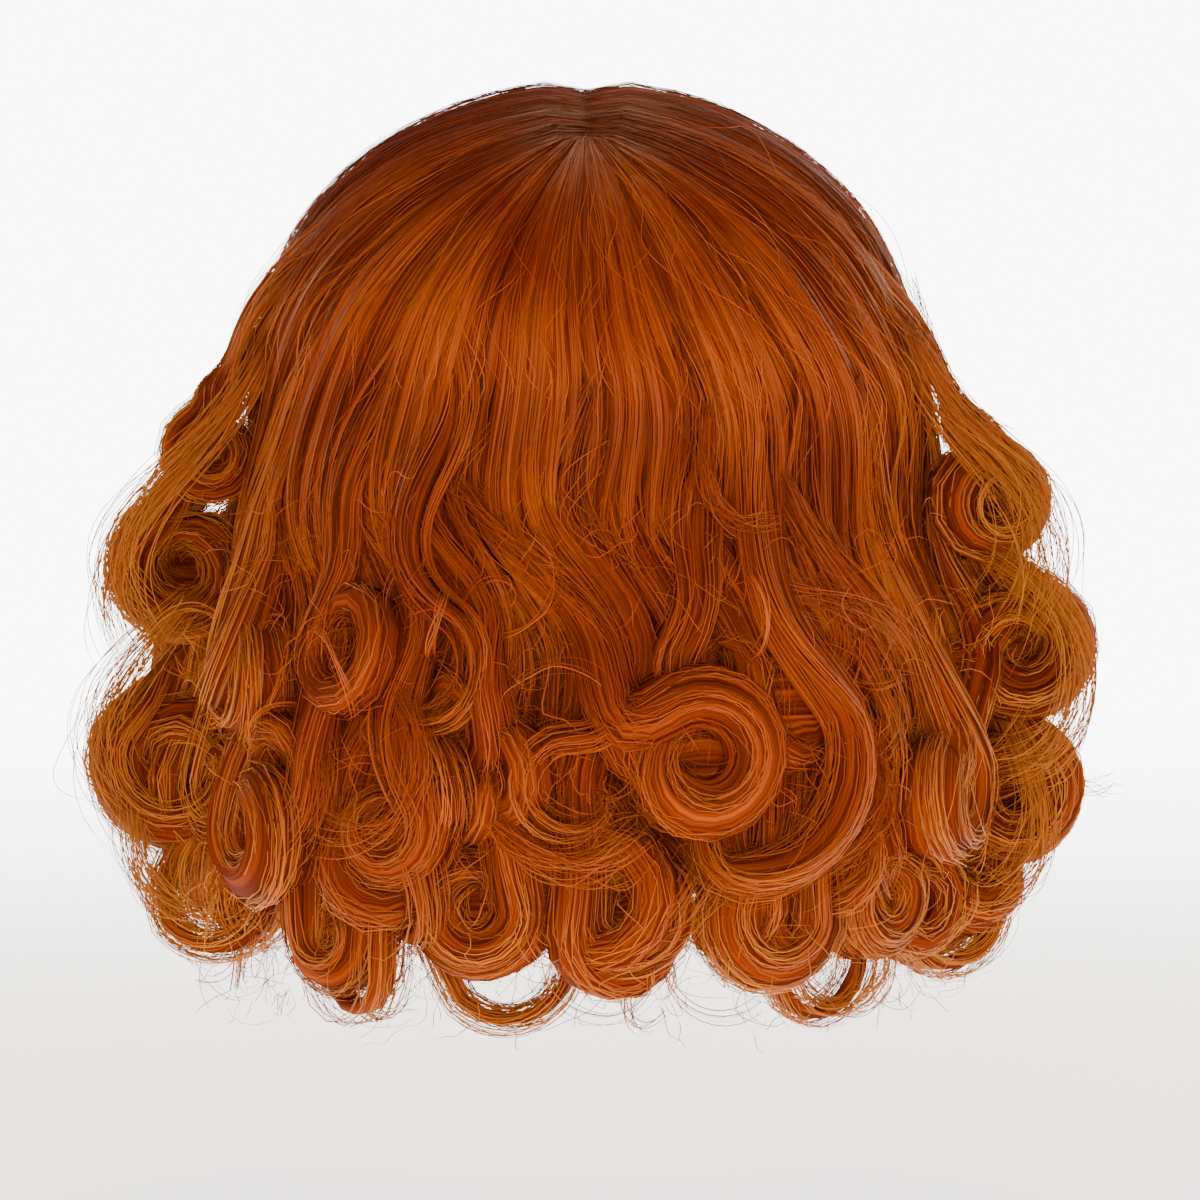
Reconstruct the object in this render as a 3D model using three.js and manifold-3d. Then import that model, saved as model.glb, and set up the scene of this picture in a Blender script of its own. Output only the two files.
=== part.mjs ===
// Curly bob wig, in millimetres, with +Z up.
// The origin is the inside of the cap's crown, where the top of the head sits.
// +Y is the way the wearer faces, +X is the wearer's right, and the hair hangs towards -Z.

import * as THREE from 'three';
import { LoftGeometry } from 'three/addons/geometries/LoftGeometry.js';
import { mergeVertices } from 'three/addons/utils/BufferGeometryUtils.js';
import Module from 'manifold-3d';

const wasm = await Module();
wasm.setup();

// The head that the wig is made for
const HEAD_BREADTH = 154;
const HEAD_LENGTH = 194;
const HEAD_CROWN_HEIGHT = 108;

// The net cap and the play between the layers
const CAP_WALL = 1.5;
const CAP_CLEARANCE = 1.5;
const LOCK_GAP = 0.3;

// How far the hair stands off the head
const CROWN_LOFT = 20;
const SIDE_LOFT = 37.5;
const BACK_LOFT = 30;
const FRONT_LOFT = 18;
const HAIR_WIDEST_DEPTH = 85;

// The centre parting and the whorl at its back end
const WHORL_TILT = 33;
const HAIRLINE_TILT = 61;
const WHORL_RADIUS = 5;
const PARTING_HALF_WIDTH = 0.5;

// The waves and the inner curtain of hair
const WAVE_FALL = 132;
const WAVE_LENGTH = 88;
const WAVE_RELIEF = 5;
const GROOVE_DEPTH = 7;
const UNDER_HAIR_THICKNESS = 8;
const UNDER_HAIR_DEPTH = 250;

// The curls
const CURL_RADIUS = 33;
const HEM_DEPTH = 285;

// Where the forms begin and end, in shares of the reach: 0 is the root, 1 the widest level
const SWAY_START = 0.45;
const SWAY_FULL = 1;
const UNDER_HAIR_START = 0.74;
const TIP_REACH = 0.35;

// How full the locks are at their ends, and how closely a curl's lead follows the waves
const GROOVE_AT_ROOT = 0.35;
const WAVE_TIP_FULLNESS = 0.3;
const CURL_ROOT_FULLNESS = 0.5;
const CURL_TIP_FULLNESS = 0.4;
const LEAD_CLIMB = 0.75;
const LEAD_HOLD = 0.8;

// How finely the solids are cut
const CAP_ROWS = 22;
const CAP_STEPS = 6;
const WAVE_STEP_REACH = 0.135;
const UNDER_HAIR_DOME_STEPS = 2;
const UNDER_HAIR_FALL_STEPS = 4;
const CURL_SIDES = 6;
const STEPS_PER_TURN = 10;
const LEAD_STEPS = 2;

const HAIR_COLOUR = 0xb44a08;
const HAIR_SHADE = 0x7c2d06;
const CAP_COLOUR = 0x5a2a12;

// The hem of the cap: how far below the crown it lies, by the bearing from the middle of the back
const CAP_HEM = [
  { at: 0, drop: 1.44 },
  { at: 45, drop: 1.30 },
  { at: 80, drop: 1.04 },
  { at: 105, drop: 1.09 },
  { at: 130, drop: 0.88 },
  { at: 148, drop: 0.69 },
  { at: 163, drop: 0.54 },
  { at: 180, drop: 0.48 },
];

// The partings between neighbouring waves, from the left of the face round the back to the right.
// bearing and drift are degrees from the middle of the back, root is the place along the centre
// parting from the whorl (0) to the hairline (1), swing and phase shape the S of the wave.
const PARTINGS = [
  { bearing: -140, root: 1.00, drift: -4, swing: 3.0, phase: 40 },
  { bearing: -114, root: 0.55, drift: -2, swing: 3.5, phase: 90 },
  { bearing: -88, root: 0.12, drift: 2, swing: 3.5, phase: 150 },
  { bearing: -62, root: 0, drift: 4, swing: 4.5, phase: 200 },
  { bearing: -42, root: 0, drift: 8, swing: 5.0, phase: 190 },
  { bearing: -21, root: 0, drift: 14, swing: 6.0, phase: 175 },
  { bearing: -2, root: 0, drift: 12, swing: 6.0, phase: 150 },
  { bearing: 18, root: 0, drift: 10, swing: 5.0, phase: 130 },
  { bearing: 36, root: 0, drift: 9, swing: 5.0, phase: 110 },
  { bearing: 58, root: 0, drift: 7, swing: 4.5, phase: 70 },
  { bearing: 84, root: 0.12, drift: 2, swing: 3.5, phase: 30 },
  { bearing: 112, root: 0.55, drift: 2, swing: 3.5, phase: 90 },
  { bearing: 140, root: 1.00, drift: 4, swing: 3.0, phase: 140 },
];

// The waves, one between each two partings: fall is their share of the longest fall
const WAVES = [
  { name: 'front_wave_left', fall: 0.78 },
  { name: 'temple_wave_left', fall: 0.86 },
  { name: 'side_wave_left', fall: 0.80 },
  { name: 'back_wave_1', fall: 0.92 },
  { name: 'back_wave_2', fall: 0.96 },
  { name: 'back_wave_3', fall: 0.94 },
  { name: 'back_wave_4', fall: 0.86 },
  { name: 'back_wave_5', fall: 0.92 },
  { name: 'back_wave_6', fall: 1.00 },
  { name: 'side_wave_right', fall: 0.84 },
  { name: 'temple_wave_right', fall: 0.84 },
  { name: 'front_wave_right', fall: 0.78 },
];

// How the hair widens below its widest level, as shares of its own width there
const OUTER_FLARE = [
  { at: 0, share: 1 },
  { at: 0.35, share: 1.03 },
  { at: 0.7, share: 1.07 },
  { at: 1, share: 1.05 },
  { at: 1.6, share: 0.98 },
];
const INNER_FLARE = [
  { at: 0, share: 1 },
  { at: 0.35, share: 1.03 },
  { at: 0.7, share: 1.12 },
  { at: 1, share: 1.18 },
  { at: 1.6, share: 1.18 },
];

// Across a wave: place from one parting to the next, and how far the lock rises from its groove
const WAVE_CROSS = [
  { across: 0, rise: 0 },
  { across: 0.15, rise: 0.66 },
  { across: 0.38, rise: 0.95 },
  { across: 0.66, rise: 1 },
  { across: 0.87, rise: 0.62 },
  { across: 1, rise: 0 },
];
const WAVE_LINING = [0.74, 0.26];

// The curls. bearing is degrees from the middle of the back. level is the depth of the curl's
// centre as a share of the hem's depth. radius, band (half its width in the plane of the coil),
// body (half its depth along the coil's axis), stand (how far the centre lies off the waves) and
// lead (the length that comes down to the coil) are shares of the curl radius above. hand is 1
// for a coil that runs anticlockwise as seen from outside, -1 for a clockwise one. start is where
// the coil begins, in degrees anticlockwise from the right. yaw turns its axis from the outward
// line towards the right, pitch tips it up. tighten is how much the radius shrinks to the tip.
const CURLS = [
  { name: 'rose_curl', bearing: 15, level: 0.685, radius: 0.64, band: 0.34, body: 0.42,
    stand: 0.46, lead: 0.8, hand: -1, start: 150, turns: 1.2, tighten: 0.5, yaw: 0, pitch: -6 },
  { name: 'open_curl', bearing: -2, level: 0.715, radius: 0.46, band: 0.17, body: 0.30,
    stand: 0.40, lead: 0.7, hand: 1, start: 65, turns: 0.8, tighten: 0.1, yaw: 0, pitch: 0 },
  { name: 'right_sweep', bearing: 22, level: 0.70, radius: 1.22, band: 0.26, body: 0.40,
    stand: 0.24, lead: 1.1, hand: -1, start: 62, turns: 0.5, tighten: 0.15, yaw: 0, pitch: 0 },
  { name: 'left_hook', bearing: -23, level: 0.585, radius: 0.60, band: 0.18, body: 0.26,
    stand: 0.24, lead: 1.2, hand: -1, start: 80, turns: 0.62, tighten: 0.1, yaw: 0, pitch: 0 },
  { name: 'left_mid_curl', bearing: -27, level: 0.765, radius: 0.46, band: 0.26, body: 0.36,
    stand: 0.36, lead: 1.2, hand: -1, start: 60, turns: 1.05, tighten: 0.45, yaw: 0, pitch: 0 },
  { name: 'left_low_spiral', bearing: -50, level: 0.775, radius: 0.56, band: 0.32, body: 0.42,
    stand: 0.42, lead: 1.0, hand: 1, start: 150, turns: 1.15, tighten: 0.5, yaw: -12, pitch: 0 },
  { name: 'left_side_curl', bearing: -56, level: 0.60, radius: 0.56, band: 0.28, body: 0.38,
    stand: 0.18, lead: 1.0, hand: 1, start: 140, turns: 0.85, tighten: 0.3, yaw: -15, pitch: 0 },
  { name: 'left_temple_curl', bearing: -80, level: 0.36, radius: 0.34, band: 0.24, body: 0.50,
    stand: 0.26, lead: 0.6, hand: 1, start: 110, turns: 0.9, tighten: 0.3, yaw: 78, pitch: 0 },
  { name: 'left_barrel_high', bearing: -84, level: 0.495, radius: 0.56, band: 0.30, body: 0.62,
    stand: 0.42, lead: 0.8, hand: 1, start: 120, turns: 1.0, tighten: 0.4, yaw: 80, pitch: 0 },
  { name: 'left_barrel_low', bearing: -80, level: 0.72, radius: 0.66, band: 0.36, body: 0.66,
    stand: 0.42, lead: 0.7, hand: 1, start: 120, turns: 1.1, tighten: 0.45, yaw: 74, pitch: 0 },
  { name: 'left_hem_loop', bearing: -71, level: 0.85, radius: 0.70, band: 0.17, body: 0.30,
    stand: 0.30, lead: 0.7, hand: 1, start: 185, turns: 0.65, tighten: 0.1, yaw: 50, pitch: 0 },
  { name: 'left_hem_curl', bearing: -39, level: 0.89, radius: 0.38, band: 0.28, body: 0.40,
    stand: 0.18, lead: 0.7, hand: 1, start: 170, turns: 1.0, tighten: 0.35, yaw: 0, pitch: 0 },
  { name: 'left_back_loop', bearing: -13, level: 0.91, radius: 0.70, band: 0.15, body: 0.26,
    stand: -0.22, lead: 0.9, hand: 1, start: 190, turns: 0.62, tighten: 0.15, yaw: 0, pitch: 0 },
  { name: 'hem_curl_1', bearing: -16, level: 0.855, radius: 0.50, band: 0.32, body: 0.38,
    stand: 0.10, lead: 0.8, hand: -1, start: 30, turns: 0.95, tighten: 0.35, yaw: 0, pitch: 0 },
  { name: 'hem_curl_2', bearing: 6, level: 0.855, radius: 0.48, band: 0.32, body: 0.38,
    stand: 0.12, lead: 0.7, hand: 1, start: 165, turns: 0.95, tighten: 0.35, yaw: 0, pitch: 0 },
  { name: 'hem_curl_3', bearing: 28, level: 0.865, radius: 0.54, band: 0.32, body: 0.38,
    stand: 0.12, lead: 0.8, hand: -1, start: 20, turns: 0.95, tighten: 0.35, yaw: 0, pitch: 0 },
  { name: 'hem_curl_4', bearing: 49, level: 0.85, radius: 0.48, band: 0.30, body: 0.38,
    stand: 0.10, lead: 0.8, hand: 1, start: 160, turns: 0.95, tighten: 0.35, yaw: 0, pitch: 0 },
  { name: 'right_back_loop', bearing: 42, level: 0.915, radius: 0.66, band: 0.15, body: 0.26,
    stand: -0.10, lead: 0.8, hand: 1, start: 195, turns: 0.62, tighten: 0.15, yaw: 0, pitch: 0 },
  { name: 'right_hem_loop', bearing: 73, level: 0.875, radius: 0.66, band: 0.17, body: 0.30,
    stand: 0.22, lead: 0.9, hand: 1, start: 185, turns: 0.65, tighten: 0.1, yaw: -40, pitch: 0 },
  { name: 'right_low_spiral', bearing: 58, level: 0.735, radius: 0.56, band: 0.32, body: 0.42,
    stand: 0.40, lead: 1.2, hand: -1, start: 60, turns: 1.15, tighten: 0.5, yaw: 10, pitch: 0 },
  { name: 'right_roll_high', bearing: 80, level: 0.415, radius: 0.44, band: 0.28, body: 0.60,
    stand: 0.46, lead: 0.6, hand: -1, start: 70, turns: 1.05, tighten: 0.3, yaw: -64, pitch: 0 },
  { name: 'right_barrel_mid', bearing: 82, level: 0.585, radius: 0.56, band: 0.34, body: 0.62,
    stand: 0.62, lead: 0.7, hand: -1, start: 60, turns: 1.05, tighten: 0.45, yaw: -76, pitch: 0 },
  { name: 'right_fall', bearing: 82, level: 0.75, radius: 0.58, band: 0.34, body: 0.58,
    stand: 0.54, lead: 0.7, hand: -1, start: 60, turns: 1.0, tighten: 0.4, yaw: -66, pitch: 0 },
  { name: 'left_cheek_curl_high', bearing: -106, level: 0.62, radius: 0.58, band: 0.32, body: 0.52,
    stand: 0.34, lead: 1.0, hand: 1, start: 150, turns: 1.0, tighten: 0.4, yaw: 24, pitch: 0 },
  { name: 'left_cheek_curl_low', bearing: -104, level: 0.82, radius: 0.56, band: 0.34, body: 0.52,
    stand: 0.26, lead: 0.8, hand: -1, start: 60, turns: 1.0, tighten: 0.4, yaw: 10, pitch: 0 },
  { name: 'left_jaw_curl', bearing: -130, level: 0.72, radius: 0.54, band: 0.30, body: 0.44,
    stand: 0.08, lead: 1.2, hand: -1, start: 40, turns: 1.0, tighten: 0.4, yaw: 0, pitch: 0 },
  { name: 'left_front_tip', bearing: -126, level: 0.875, radius: 0.40, band: 0.24, body: 0.32,
    stand: 0.10, lead: 0.7, hand: 1, start: 175, turns: 0.8, tighten: 0.25, yaw: 0, pitch: 0 },
  { name: 'right_cheek_curl_high', bearing: 107, level: 0.60, radius: 0.58, band: 0.32, body: 0.52,
    stand: 0.34, lead: 1.0, hand: -1, start: 30, turns: 1.0, tighten: 0.4, yaw: -24, pitch: 0 },
  { name: 'right_cheek_curl_low', bearing: 105, level: 0.81, radius: 0.56, band: 0.34, body: 0.52,
    stand: 0.26, lead: 0.8, hand: 1, start: 120, turns: 1.0, tighten: 0.4, yaw: -10, pitch: 0 },
  { name: 'right_jaw_curl', bearing: 131, level: 0.72, radius: 0.54, band: 0.30, body: 0.44,
    stand: 0.06, lead: 1.2, hand: 1, start: 140, turns: 1.0, tighten: 0.4, yaw: 0, pitch: 0 },
  { name: 'right_front_tip', bearing: 127, level: 0.87, radius: 0.40, band: 0.24, body: 0.32,
    stand: 0.10, lead: 0.7, hand: -1, start: 5, turns: 0.8, tighten: 0.25, yaw: 0, pitch: 0 },
];

// What follows from the sizes above
const HEAD = new THREE.Vector3(HEAD_BREADTH / 2, HEAD_LENGTH / 2, HEAD_CROWN_HEIGHT);
const HEAD_CENTRE = new THREE.Vector3(0, 0, -HEAD_CROWN_HEIGHT);
const HAIR = new THREE.Vector3(
  HEAD.x + SIDE_LOFT,
  HEAD.y + (BACK_LOFT + FRONT_LOFT) / 2,
  HAIR_WIDEST_DEPTH + CROWN_LOFT,
);
const HAIR_CENTRE = new THREE.Vector3(0, (FRONT_LOFT - BACK_LOFT) / 2, -HAIR_WIDEST_DEPTH);
const INNER_LAG = 1 - (2 / Math.PI) * Math.acos(1 - HAIR_WIDEST_DEPTH / HEAD_CROWN_HEIGHT);
const INNER_FALL = (WAVE_FALL + HAIR_WIDEST_DEPTH - HEAD_CROWN_HEIGHT) / (1 - INNER_LAG);
const DOME_RUN = (Math.PI / 4) * (HAIR.x + HAIR.z);
const UNDER_HAIR_REACH = 1 + (UNDER_HAIR_DEPTH - HAIR_WIDEST_DEPTH) / WAVE_FALL;

const radians = THREE.MathUtils.degToRad;
const lerp = THREE.MathUtils.lerp;
const smoothstep = THREE.MathUtils.smoothstep;

// Reads a table whose rows are met at rising values of the column at
function readTable(table, position, column) {
  const last = table.length - 1;
  const found = table.findIndex((row) => row.at > position);
  const high = found < 0 ? last : Math.max(found, 1);
  const low = high - 1;
  const share = smoothstep(position, table[low].at, table[high].at);
  return lerp(table[low][column], table[high][column], share);
}

// Reads a column of the partings at a place between two of them
function readParting(place, column) {
  const low = Math.min(Math.floor(place), PARTINGS.length - 2);
  return lerp(PARTINGS[low][column], PARTINGS[low + 1][column], place - low);
}

// The level direction at a bearing from the middle of the back
function levelDirection(bearing) {
  return new THREE.Vector3(Math.sin(radians(bearing)), -Math.cos(radians(bearing)), 0);
}

// Where a parting leaves the whorl or the centre parting
function rootDirection(parting) {
  const tilt = radians(lerp(-WHORL_TILT, HAIRLINE_TILT, parting.root));
  const onTop = new THREE.Vector3(0, Math.sin(tilt), Math.cos(tilt));
  if (parting.root === 0) {
    return onTop.lerp(levelDirection(parting.bearing), WHORL_RADIUS / HAIR.z).normalize();
  }
  onTop.x = Math.sign(parting.bearing) * PARTING_HALF_WIDTH / HAIR.x;
  return onTop.normalize();
}

// How far the hair has run from its root: reach is 0 at the root, 1 at the widest level
function runLength(reach) {
  return Math.min(reach, 1) * DOME_RUN + Math.max(reach - 1, 0) * WAVE_FALL;
}

// The angle of the S wave at a place and reach
function waveAngle(place, reach) {
  return (2 * Math.PI * runLength(reach)) / WAVE_LENGTH + radians(readParting(place, 'phase'));
}

// The direction in which the hair at a place lies: turn runs from its root (0) down to level (1)
function hairDirection(place, reach, turn) {
  const low = Math.min(Math.floor(place), PARTINGS.length - 2);
  const root = rootDirection(PARTINGS[low]);
  root.lerp(rootDirection(PARTINGS[low + 1]), place - low).normalize();
  const sway = Math.sin(waveAngle(place, reach)) * smoothstep(reach, SWAY_START, SWAY_FULL);
  const bearing = readParting(place, 'bearing')
    + readParting(place, 'drift') * Math.max(reach - 1, 0)
    + readParting(place, 'swing') * sway;
  const level = levelDirection(bearing);
  const angle = root.angleTo(level);
  const share = Math.min(turn, 1);
  const fromRoot = root.multiplyScalar(Math.sin((1 - share) * angle));
  return fromRoot.addScaledVector(level, Math.sin(share * angle)).normalize();
}

// A point on the outside of the hair, raised by a height off the smooth form
function outerPoint(place, reach, height) {
  const direction = hairDirection(place, reach, reach);
  const fall = Math.max(reach - 1, 0);
  const flare = readTable(OUTER_FLARE, fall, 'share');
  return new THREE.Vector3(
    HAIR_CENTRE.x + direction.x * (HAIR.x * flare + height),
    HAIR_CENTRE.y + direction.y * (HAIR.y * flare + height),
    HAIR_CENTRE.z + direction.z * (HAIR.z + height) - fall * WAVE_FALL,
  );
}

// A point on the head side of the hair, raised by a height off the head
function innerPoint(place, reach, height) {
  const turn = reach - INNER_LAG * smoothstep(reach, 0, 1);
  const direction = hairDirection(place, reach, turn);
  const fall = Math.max(turn - 1, 0);
  const flare = readTable(INNER_FLARE, fall, 'share');
  return new THREE.Vector3(
    HEAD_CENTRE.x + direction.x * (HEAD.x * flare + height),
    HEAD_CENTRE.y + direction.y * (HEAD.y * flare + height),
    HEAD_CENTRE.z + direction.z * (HEAD.z + height) - fall * INNER_FALL,
  );
}

// The thickness of the inner curtain, which starts thin under the crown
function curtainThickness(reach) {
  return CAP_WALL + (UNDER_HAIR_THICKNESS - CAP_WALL) * smoothstep(reach, UNDER_HAIR_START, SWAY_FULL);
}

// The height of the waves' head side over the head
function liningHeight(reach) {
  const onCurtain = smoothstep(reach, UNDER_HAIR_START - 0.15, UNDER_HAIR_START);
  return CAP_WALL + CAP_CLEARANCE + (curtainThickness(reach) + CAP_CLEARANCE) * onCurtain;
}

// Turns a geometry into a solid, without its seams and collapsed faces
function solidOf(geometry) {
  const bare = new THREE.BufferGeometry();
  bare.setAttribute('position', geometry.attributes.position);
  bare.setIndex(geometry.index);
  const merged = mergeVertices(bare, 1e-3);
  const faces = [];
  for (let corner = 0; corner < merged.index.count; corner += 3) {
    const face = [0, 1, 2].map((step) => merged.index.getX(corner + step));
    if (new Set(face).size === 3) {
      faces.push(...face);
    }
  }
  return new wasm.Manifold(new wasm.Mesh({
    numProp: 3,
    vertProperties: new Float32Array(merged.attributes.position.array),
    triVerts: new Uint32Array(faces),
  }));
}

// Skins the loops of one piece and closes each end to the middle of its loop
function skinLoops(loops) {
  const ends = [loops[0], loops[loops.length - 1]].map((loop) => {
    const middle = new THREE.Vector3();
    loop.forEach((point) => middle.addScaledVector(point, 1 / loop.length));
    return loop.map(() => middle);
  });
  return solidOf(new LoftGeometry([ends[0], ...loops, ends[1]]));
}

// Turns a solid back into a geometry
function geometryOf(solid) {
  const mesh = solid.getMesh();
  const geometry = new THREE.BufferGeometry();
  geometry.setAttribute('position', new THREE.BufferAttribute(mesh.vertProperties, 3));
  geometry.setIndex(new THREE.BufferAttribute(mesh.triVerts, 1));
  geometry.computeVertexNormals();
  return geometry;
}

// Names a solid and gives it its finish
function pieceOf(name, solid, colour, roughness) {
  const material = new THREE.MeshStandardMaterial({ color: colour, roughness, metalness: 0 });
  const mesh = new THREE.Mesh(geometryOf(solid), material);
  mesh.name = name;
  return mesh;
}

// A point of the cap at a bearing: share runs from the crown (0) to the hem (1)
function capPoint(bearing, share, wall) {
  const hem = readTable(CAP_HEM, Math.abs(bearing), 'drop') * HEAD_CROWN_HEIGHT;
  const hemAngle = Math.acos(1 - hem / HEAD_CROWN_HEIGHT);
  const level = levelDirection(bearing).multiplyScalar(Math.sin(share * hemAngle));
  return new THREE.Vector3(
    level.x * (HEAD.x + wall),
    level.y * (HEAD.y + wall),
    HEAD_CENTRE.z + Math.cos(share * hemAngle) * (HEAD.z + wall),
  );
}

// The net cap, one meridian of its wall at a time. growth makes its outside larger.
function makeCap(growth) {
  const meridians = [];
  for (let row = 0; row <= CAP_ROWS; row += 1) {
    const bearing = row === CAP_ROWS ? -180 : -180 + (360 * row) / CAP_ROWS;
    const outside = [];
    const inside = [];
    for (let step = 0; step <= CAP_STEPS; step += 1) {
      outside.push(capPoint(bearing, step / CAP_STEPS, CAP_WALL + growth));
      inside.unshift(capPoint(bearing, step / CAP_STEPS, 0));
    }
    meridians.push([...outside, ...inside]);
  }
  return solidOf(new LoftGeometry(meridians));
}

// The inner curtain of hair, from ear to ear round the back. growth makes it larger all round.
function makeUnderHair(growth) {
  const reaches = [];
  for (let step = 0; step < UNDER_HAIR_DOME_STEPS; step += 1) {
    reaches.push(lerp(UNDER_HAIR_START, 1, step / UNDER_HAIR_DOME_STEPS));
  }
  for (let step = 0; step <= UNDER_HAIR_FALL_STEPS; step += 1) {
    reaches.push(lerp(1, UNDER_HAIR_REACH, step / UNDER_HAIR_FALL_STEPS));
  }
  const seat = CAP_WALL + CAP_CLEARANCE;
  const meridians = [];
  const lastPlace = PARTINGS.length - 2;
  for (let place = 1; place <= lastPlace; place += 0.5) {
    const outside = reaches.map((reach) => {
      return innerPoint(place, reach, seat + curtainThickness(reach) + growth);
    });
    const inside = reaches.map((reach) => innerPoint(place, reach, seat - growth));
    meridians.push([...outside, ...inside.reverse()]);
  }
  return solidOf(new LoftGeometry(meridians, { capStart: true, capEnd: true }));
}

// One section across a wave, as a closed loop: its lining, then its outside
function waveLoop(wave, reach, tipReach, growth) {
  const groove = GROOVE_DEPTH * lerp(GROOVE_AT_ROOT, 1, smoothstep(reach, 0, SWAY_FULL));
  const taper = lerp(1, WAVE_TIP_FULLNESS, smoothstep(reach, tipReach - TIP_REACH, tipReach));
  const swayShare = smoothstep(reach, SWAY_START, SWAY_FULL);
  const swell = growth / taper;
  const loop = WAVE_CROSS.map((row) => {
    const place = wave + row.across;
    const relief = WAVE_RELIEF * Math.cos(waveAngle(place, reach)) * swayShare;
    return outerPoint(place, reach, relief + groove * (row.rise - 1) + swell);
  });
  const lining = WAVE_LINING.map((across) => {
    return innerPoint(wave + across, reach, liningHeight(reach) - swell);
  });
  const left = loop[0];
  const right = loop[loop.length - 1];
  const rightward = right.clone().sub(left).normalize();
  left.addScaledVector(rightward, LOCK_GAP / 2 - swell);
  right.addScaledVector(rightward, swell - LOCK_GAP / 2);
  const outside = outerPoint(wave + 0.5, reach, 0);
  const middle = outside.lerp(innerPoint(wave + 0.5, reach, liningHeight(reach)), 0.5);
  return [...loop, ...lining].reverse().map((point) => point.lerp(middle, 1 - taper));
}

// A wave from its root to its tip. growth makes it larger all round, to cut room for it.
function makeWave(wave, growth) {
  const tipReach = 1 + WAVES[wave].fall;
  const loops = [];
  for (let reach = 0; reach < tipReach - WAVE_STEP_REACH / 3; reach += WAVE_STEP_REACH) {
    loops.push(waveLoop(wave, reach, tipReach, growth));
  }
  loops.push(waveLoop(wave, tipReach, tipReach, growth));
  return skinLoops(loops);
}

// The waves' smooth outside at a bearing and a level below the widest one
function sidePoint(bearing, level) {
  const direction = levelDirection(bearing);
  const fall = Math.max(-level - HAIR_WIDEST_DEPTH, 0) / WAVE_FALL;
  const flare = readTable(OUTER_FLARE, fall, 'share');
  return new THREE.Vector3(
    HAIR_CENTRE.x + direction.x * HAIR.x * flare,
    HAIR_CENTRE.y + direction.y * HAIR.y * flare,
    level,
  );
}

// The axes of a curl: across and up lie in the plane of its coil, axis stands on it
function curlFrame(curl) {
  const outward = new THREE.Vector3(
    Math.sin(radians(curl.bearing)) / HAIR.x,
    -Math.cos(radians(curl.bearing)) / HAIR.y,
    0,
  ).normalize();
  const upward = new THREE.Vector3(0, 0, 1);
  const aside = upward.clone().cross(outward);
  const yaw = new THREE.Quaternion().setFromAxisAngle(upward, radians(curl.yaw));
  const across = aside.applyQuaternion(yaw);
  const pitch = new THREE.Quaternion().setFromAxisAngle(across, radians(-curl.pitch));
  const axis = outward.clone().applyQuaternion(yaw).applyQuaternion(pitch);
  const up = upward.applyQuaternion(pitch);
  return { outward, across, axis, up };
}

// The middle line of a curl: a lead that comes down over the waves, then the coil
function curlPath(curl, frame) {
  const radius = curl.radius * CURL_RADIUS;
  const centre = sidePoint(curl.bearing, -curl.level * HEM_DEPTH);
  centre.addScaledVector(frame.outward, curl.stand * CURL_RADIUS);
  const coilPoint = (share) => {
    const angle = radians(curl.start + curl.hand * curl.turns * 360 * share);
    const reach = radius * (1 - curl.tighten * share);
    return centre.clone()
      .addScaledVector(frame.across, reach * Math.cos(angle))
      .addScaledVector(frame.up, reach * Math.sin(angle));
  };
  const steps = Math.ceil(curl.turns * STEPS_PER_TURN);
  const coil = [];
  for (let step = 0; step <= steps; step += 1) {
    coil.push(coilPoint(step / steps));
  }
  const back = coil[0].clone().sub(coil[1]).normalize();
  const lead = [];
  for (let step = LEAD_STEPS; step > 0; step -= 1) {
    const share = step / LEAD_STEPS;
    const length = curl.lead * CURL_RADIUS * share;
    const climb = back.clone().lerp(new THREE.Vector3(0, 0, 1), LEAD_CLIMB * share).normalize();
    const point = coil[0].clone().addScaledVector(climb, length);
    const bearing = Math.atan2(point.x / HAIR.x, (HAIR_CENTRE.y - point.y) / HAIR.y);
    const seat = sidePoint(THREE.MathUtils.radToDeg(bearing), point.z);
    seat.addScaledVector(frame.outward, (curl.body * CURL_RADIUS + WAVE_RELIEF) / 2);
    lead.push(point.lerp(seat, share * LEAD_HOLD));
  }
  return [...lead, ...coil];
}

// A curl as a lock of oval section that thins to its tip. Its upper and lower half are joined,
// because a coil of more than one turn runs into its own lead. growth makes it larger all round.
function makeCurl(curl, growth) {
  const frame = curlFrame(curl);
  const path = curlPath(curl, frame);
  const last = path.length - 1;
  path[0].addScaledVector(path[0].clone().sub(path[1]).normalize(), growth);
  path[last].addScaledVector(path[last].clone().sub(path[last - 1]).normalize(), growth);
  const loops = path.map((point, step) => {
    const share = step / last;
    const along = path[Math.min(step + 1, last)].clone().sub(path[Math.max(step - 1, 0)]).normalize();
    const sideways = along.clone().cross(frame.axis).normalize();
    const deep = along.clone().cross(sideways).normalize();
    const fromRoot = lerp(CURL_ROOT_FULLNESS, 1, smoothstep(share, 0, 0.25));
    const toTip = lerp(1, CURL_TIP_FULLNESS, smoothstep(share, 0.7, 1));
    const fullness = fromRoot * toTip;
    const band = curl.band * CURL_RADIUS * fullness + growth;
    const body = curl.body * CURL_RADIUS * fullness + growth;
    const loop = [];
    for (let side = 0; side < CURL_SIDES; side += 1) {
      const angle = (2 * Math.PI * side) / CURL_SIDES;
      loop.push(point.clone()
        .addScaledVector(sideways, band * Math.cos(angle))
        .addScaledVector(deep, body * Math.sin(angle)));
    }
    return loop;
  });
  const half = Math.floor(loops.length / 2);
  const upper = skinLoops(loops.slice(0, half + 1));
  return upper.add(skinLoops(loops.slice(half)));
}

// Whether the boxes round two solids meet
function boxesMeet(one, other) {
  const first = one.boundingBox();
  const second = other.boundingBox();
  return [0, 1, 2].every((axis) => {
    return first.min[axis] < second.max[axis] && second.min[axis] < first.max[axis];
  });
}

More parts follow.
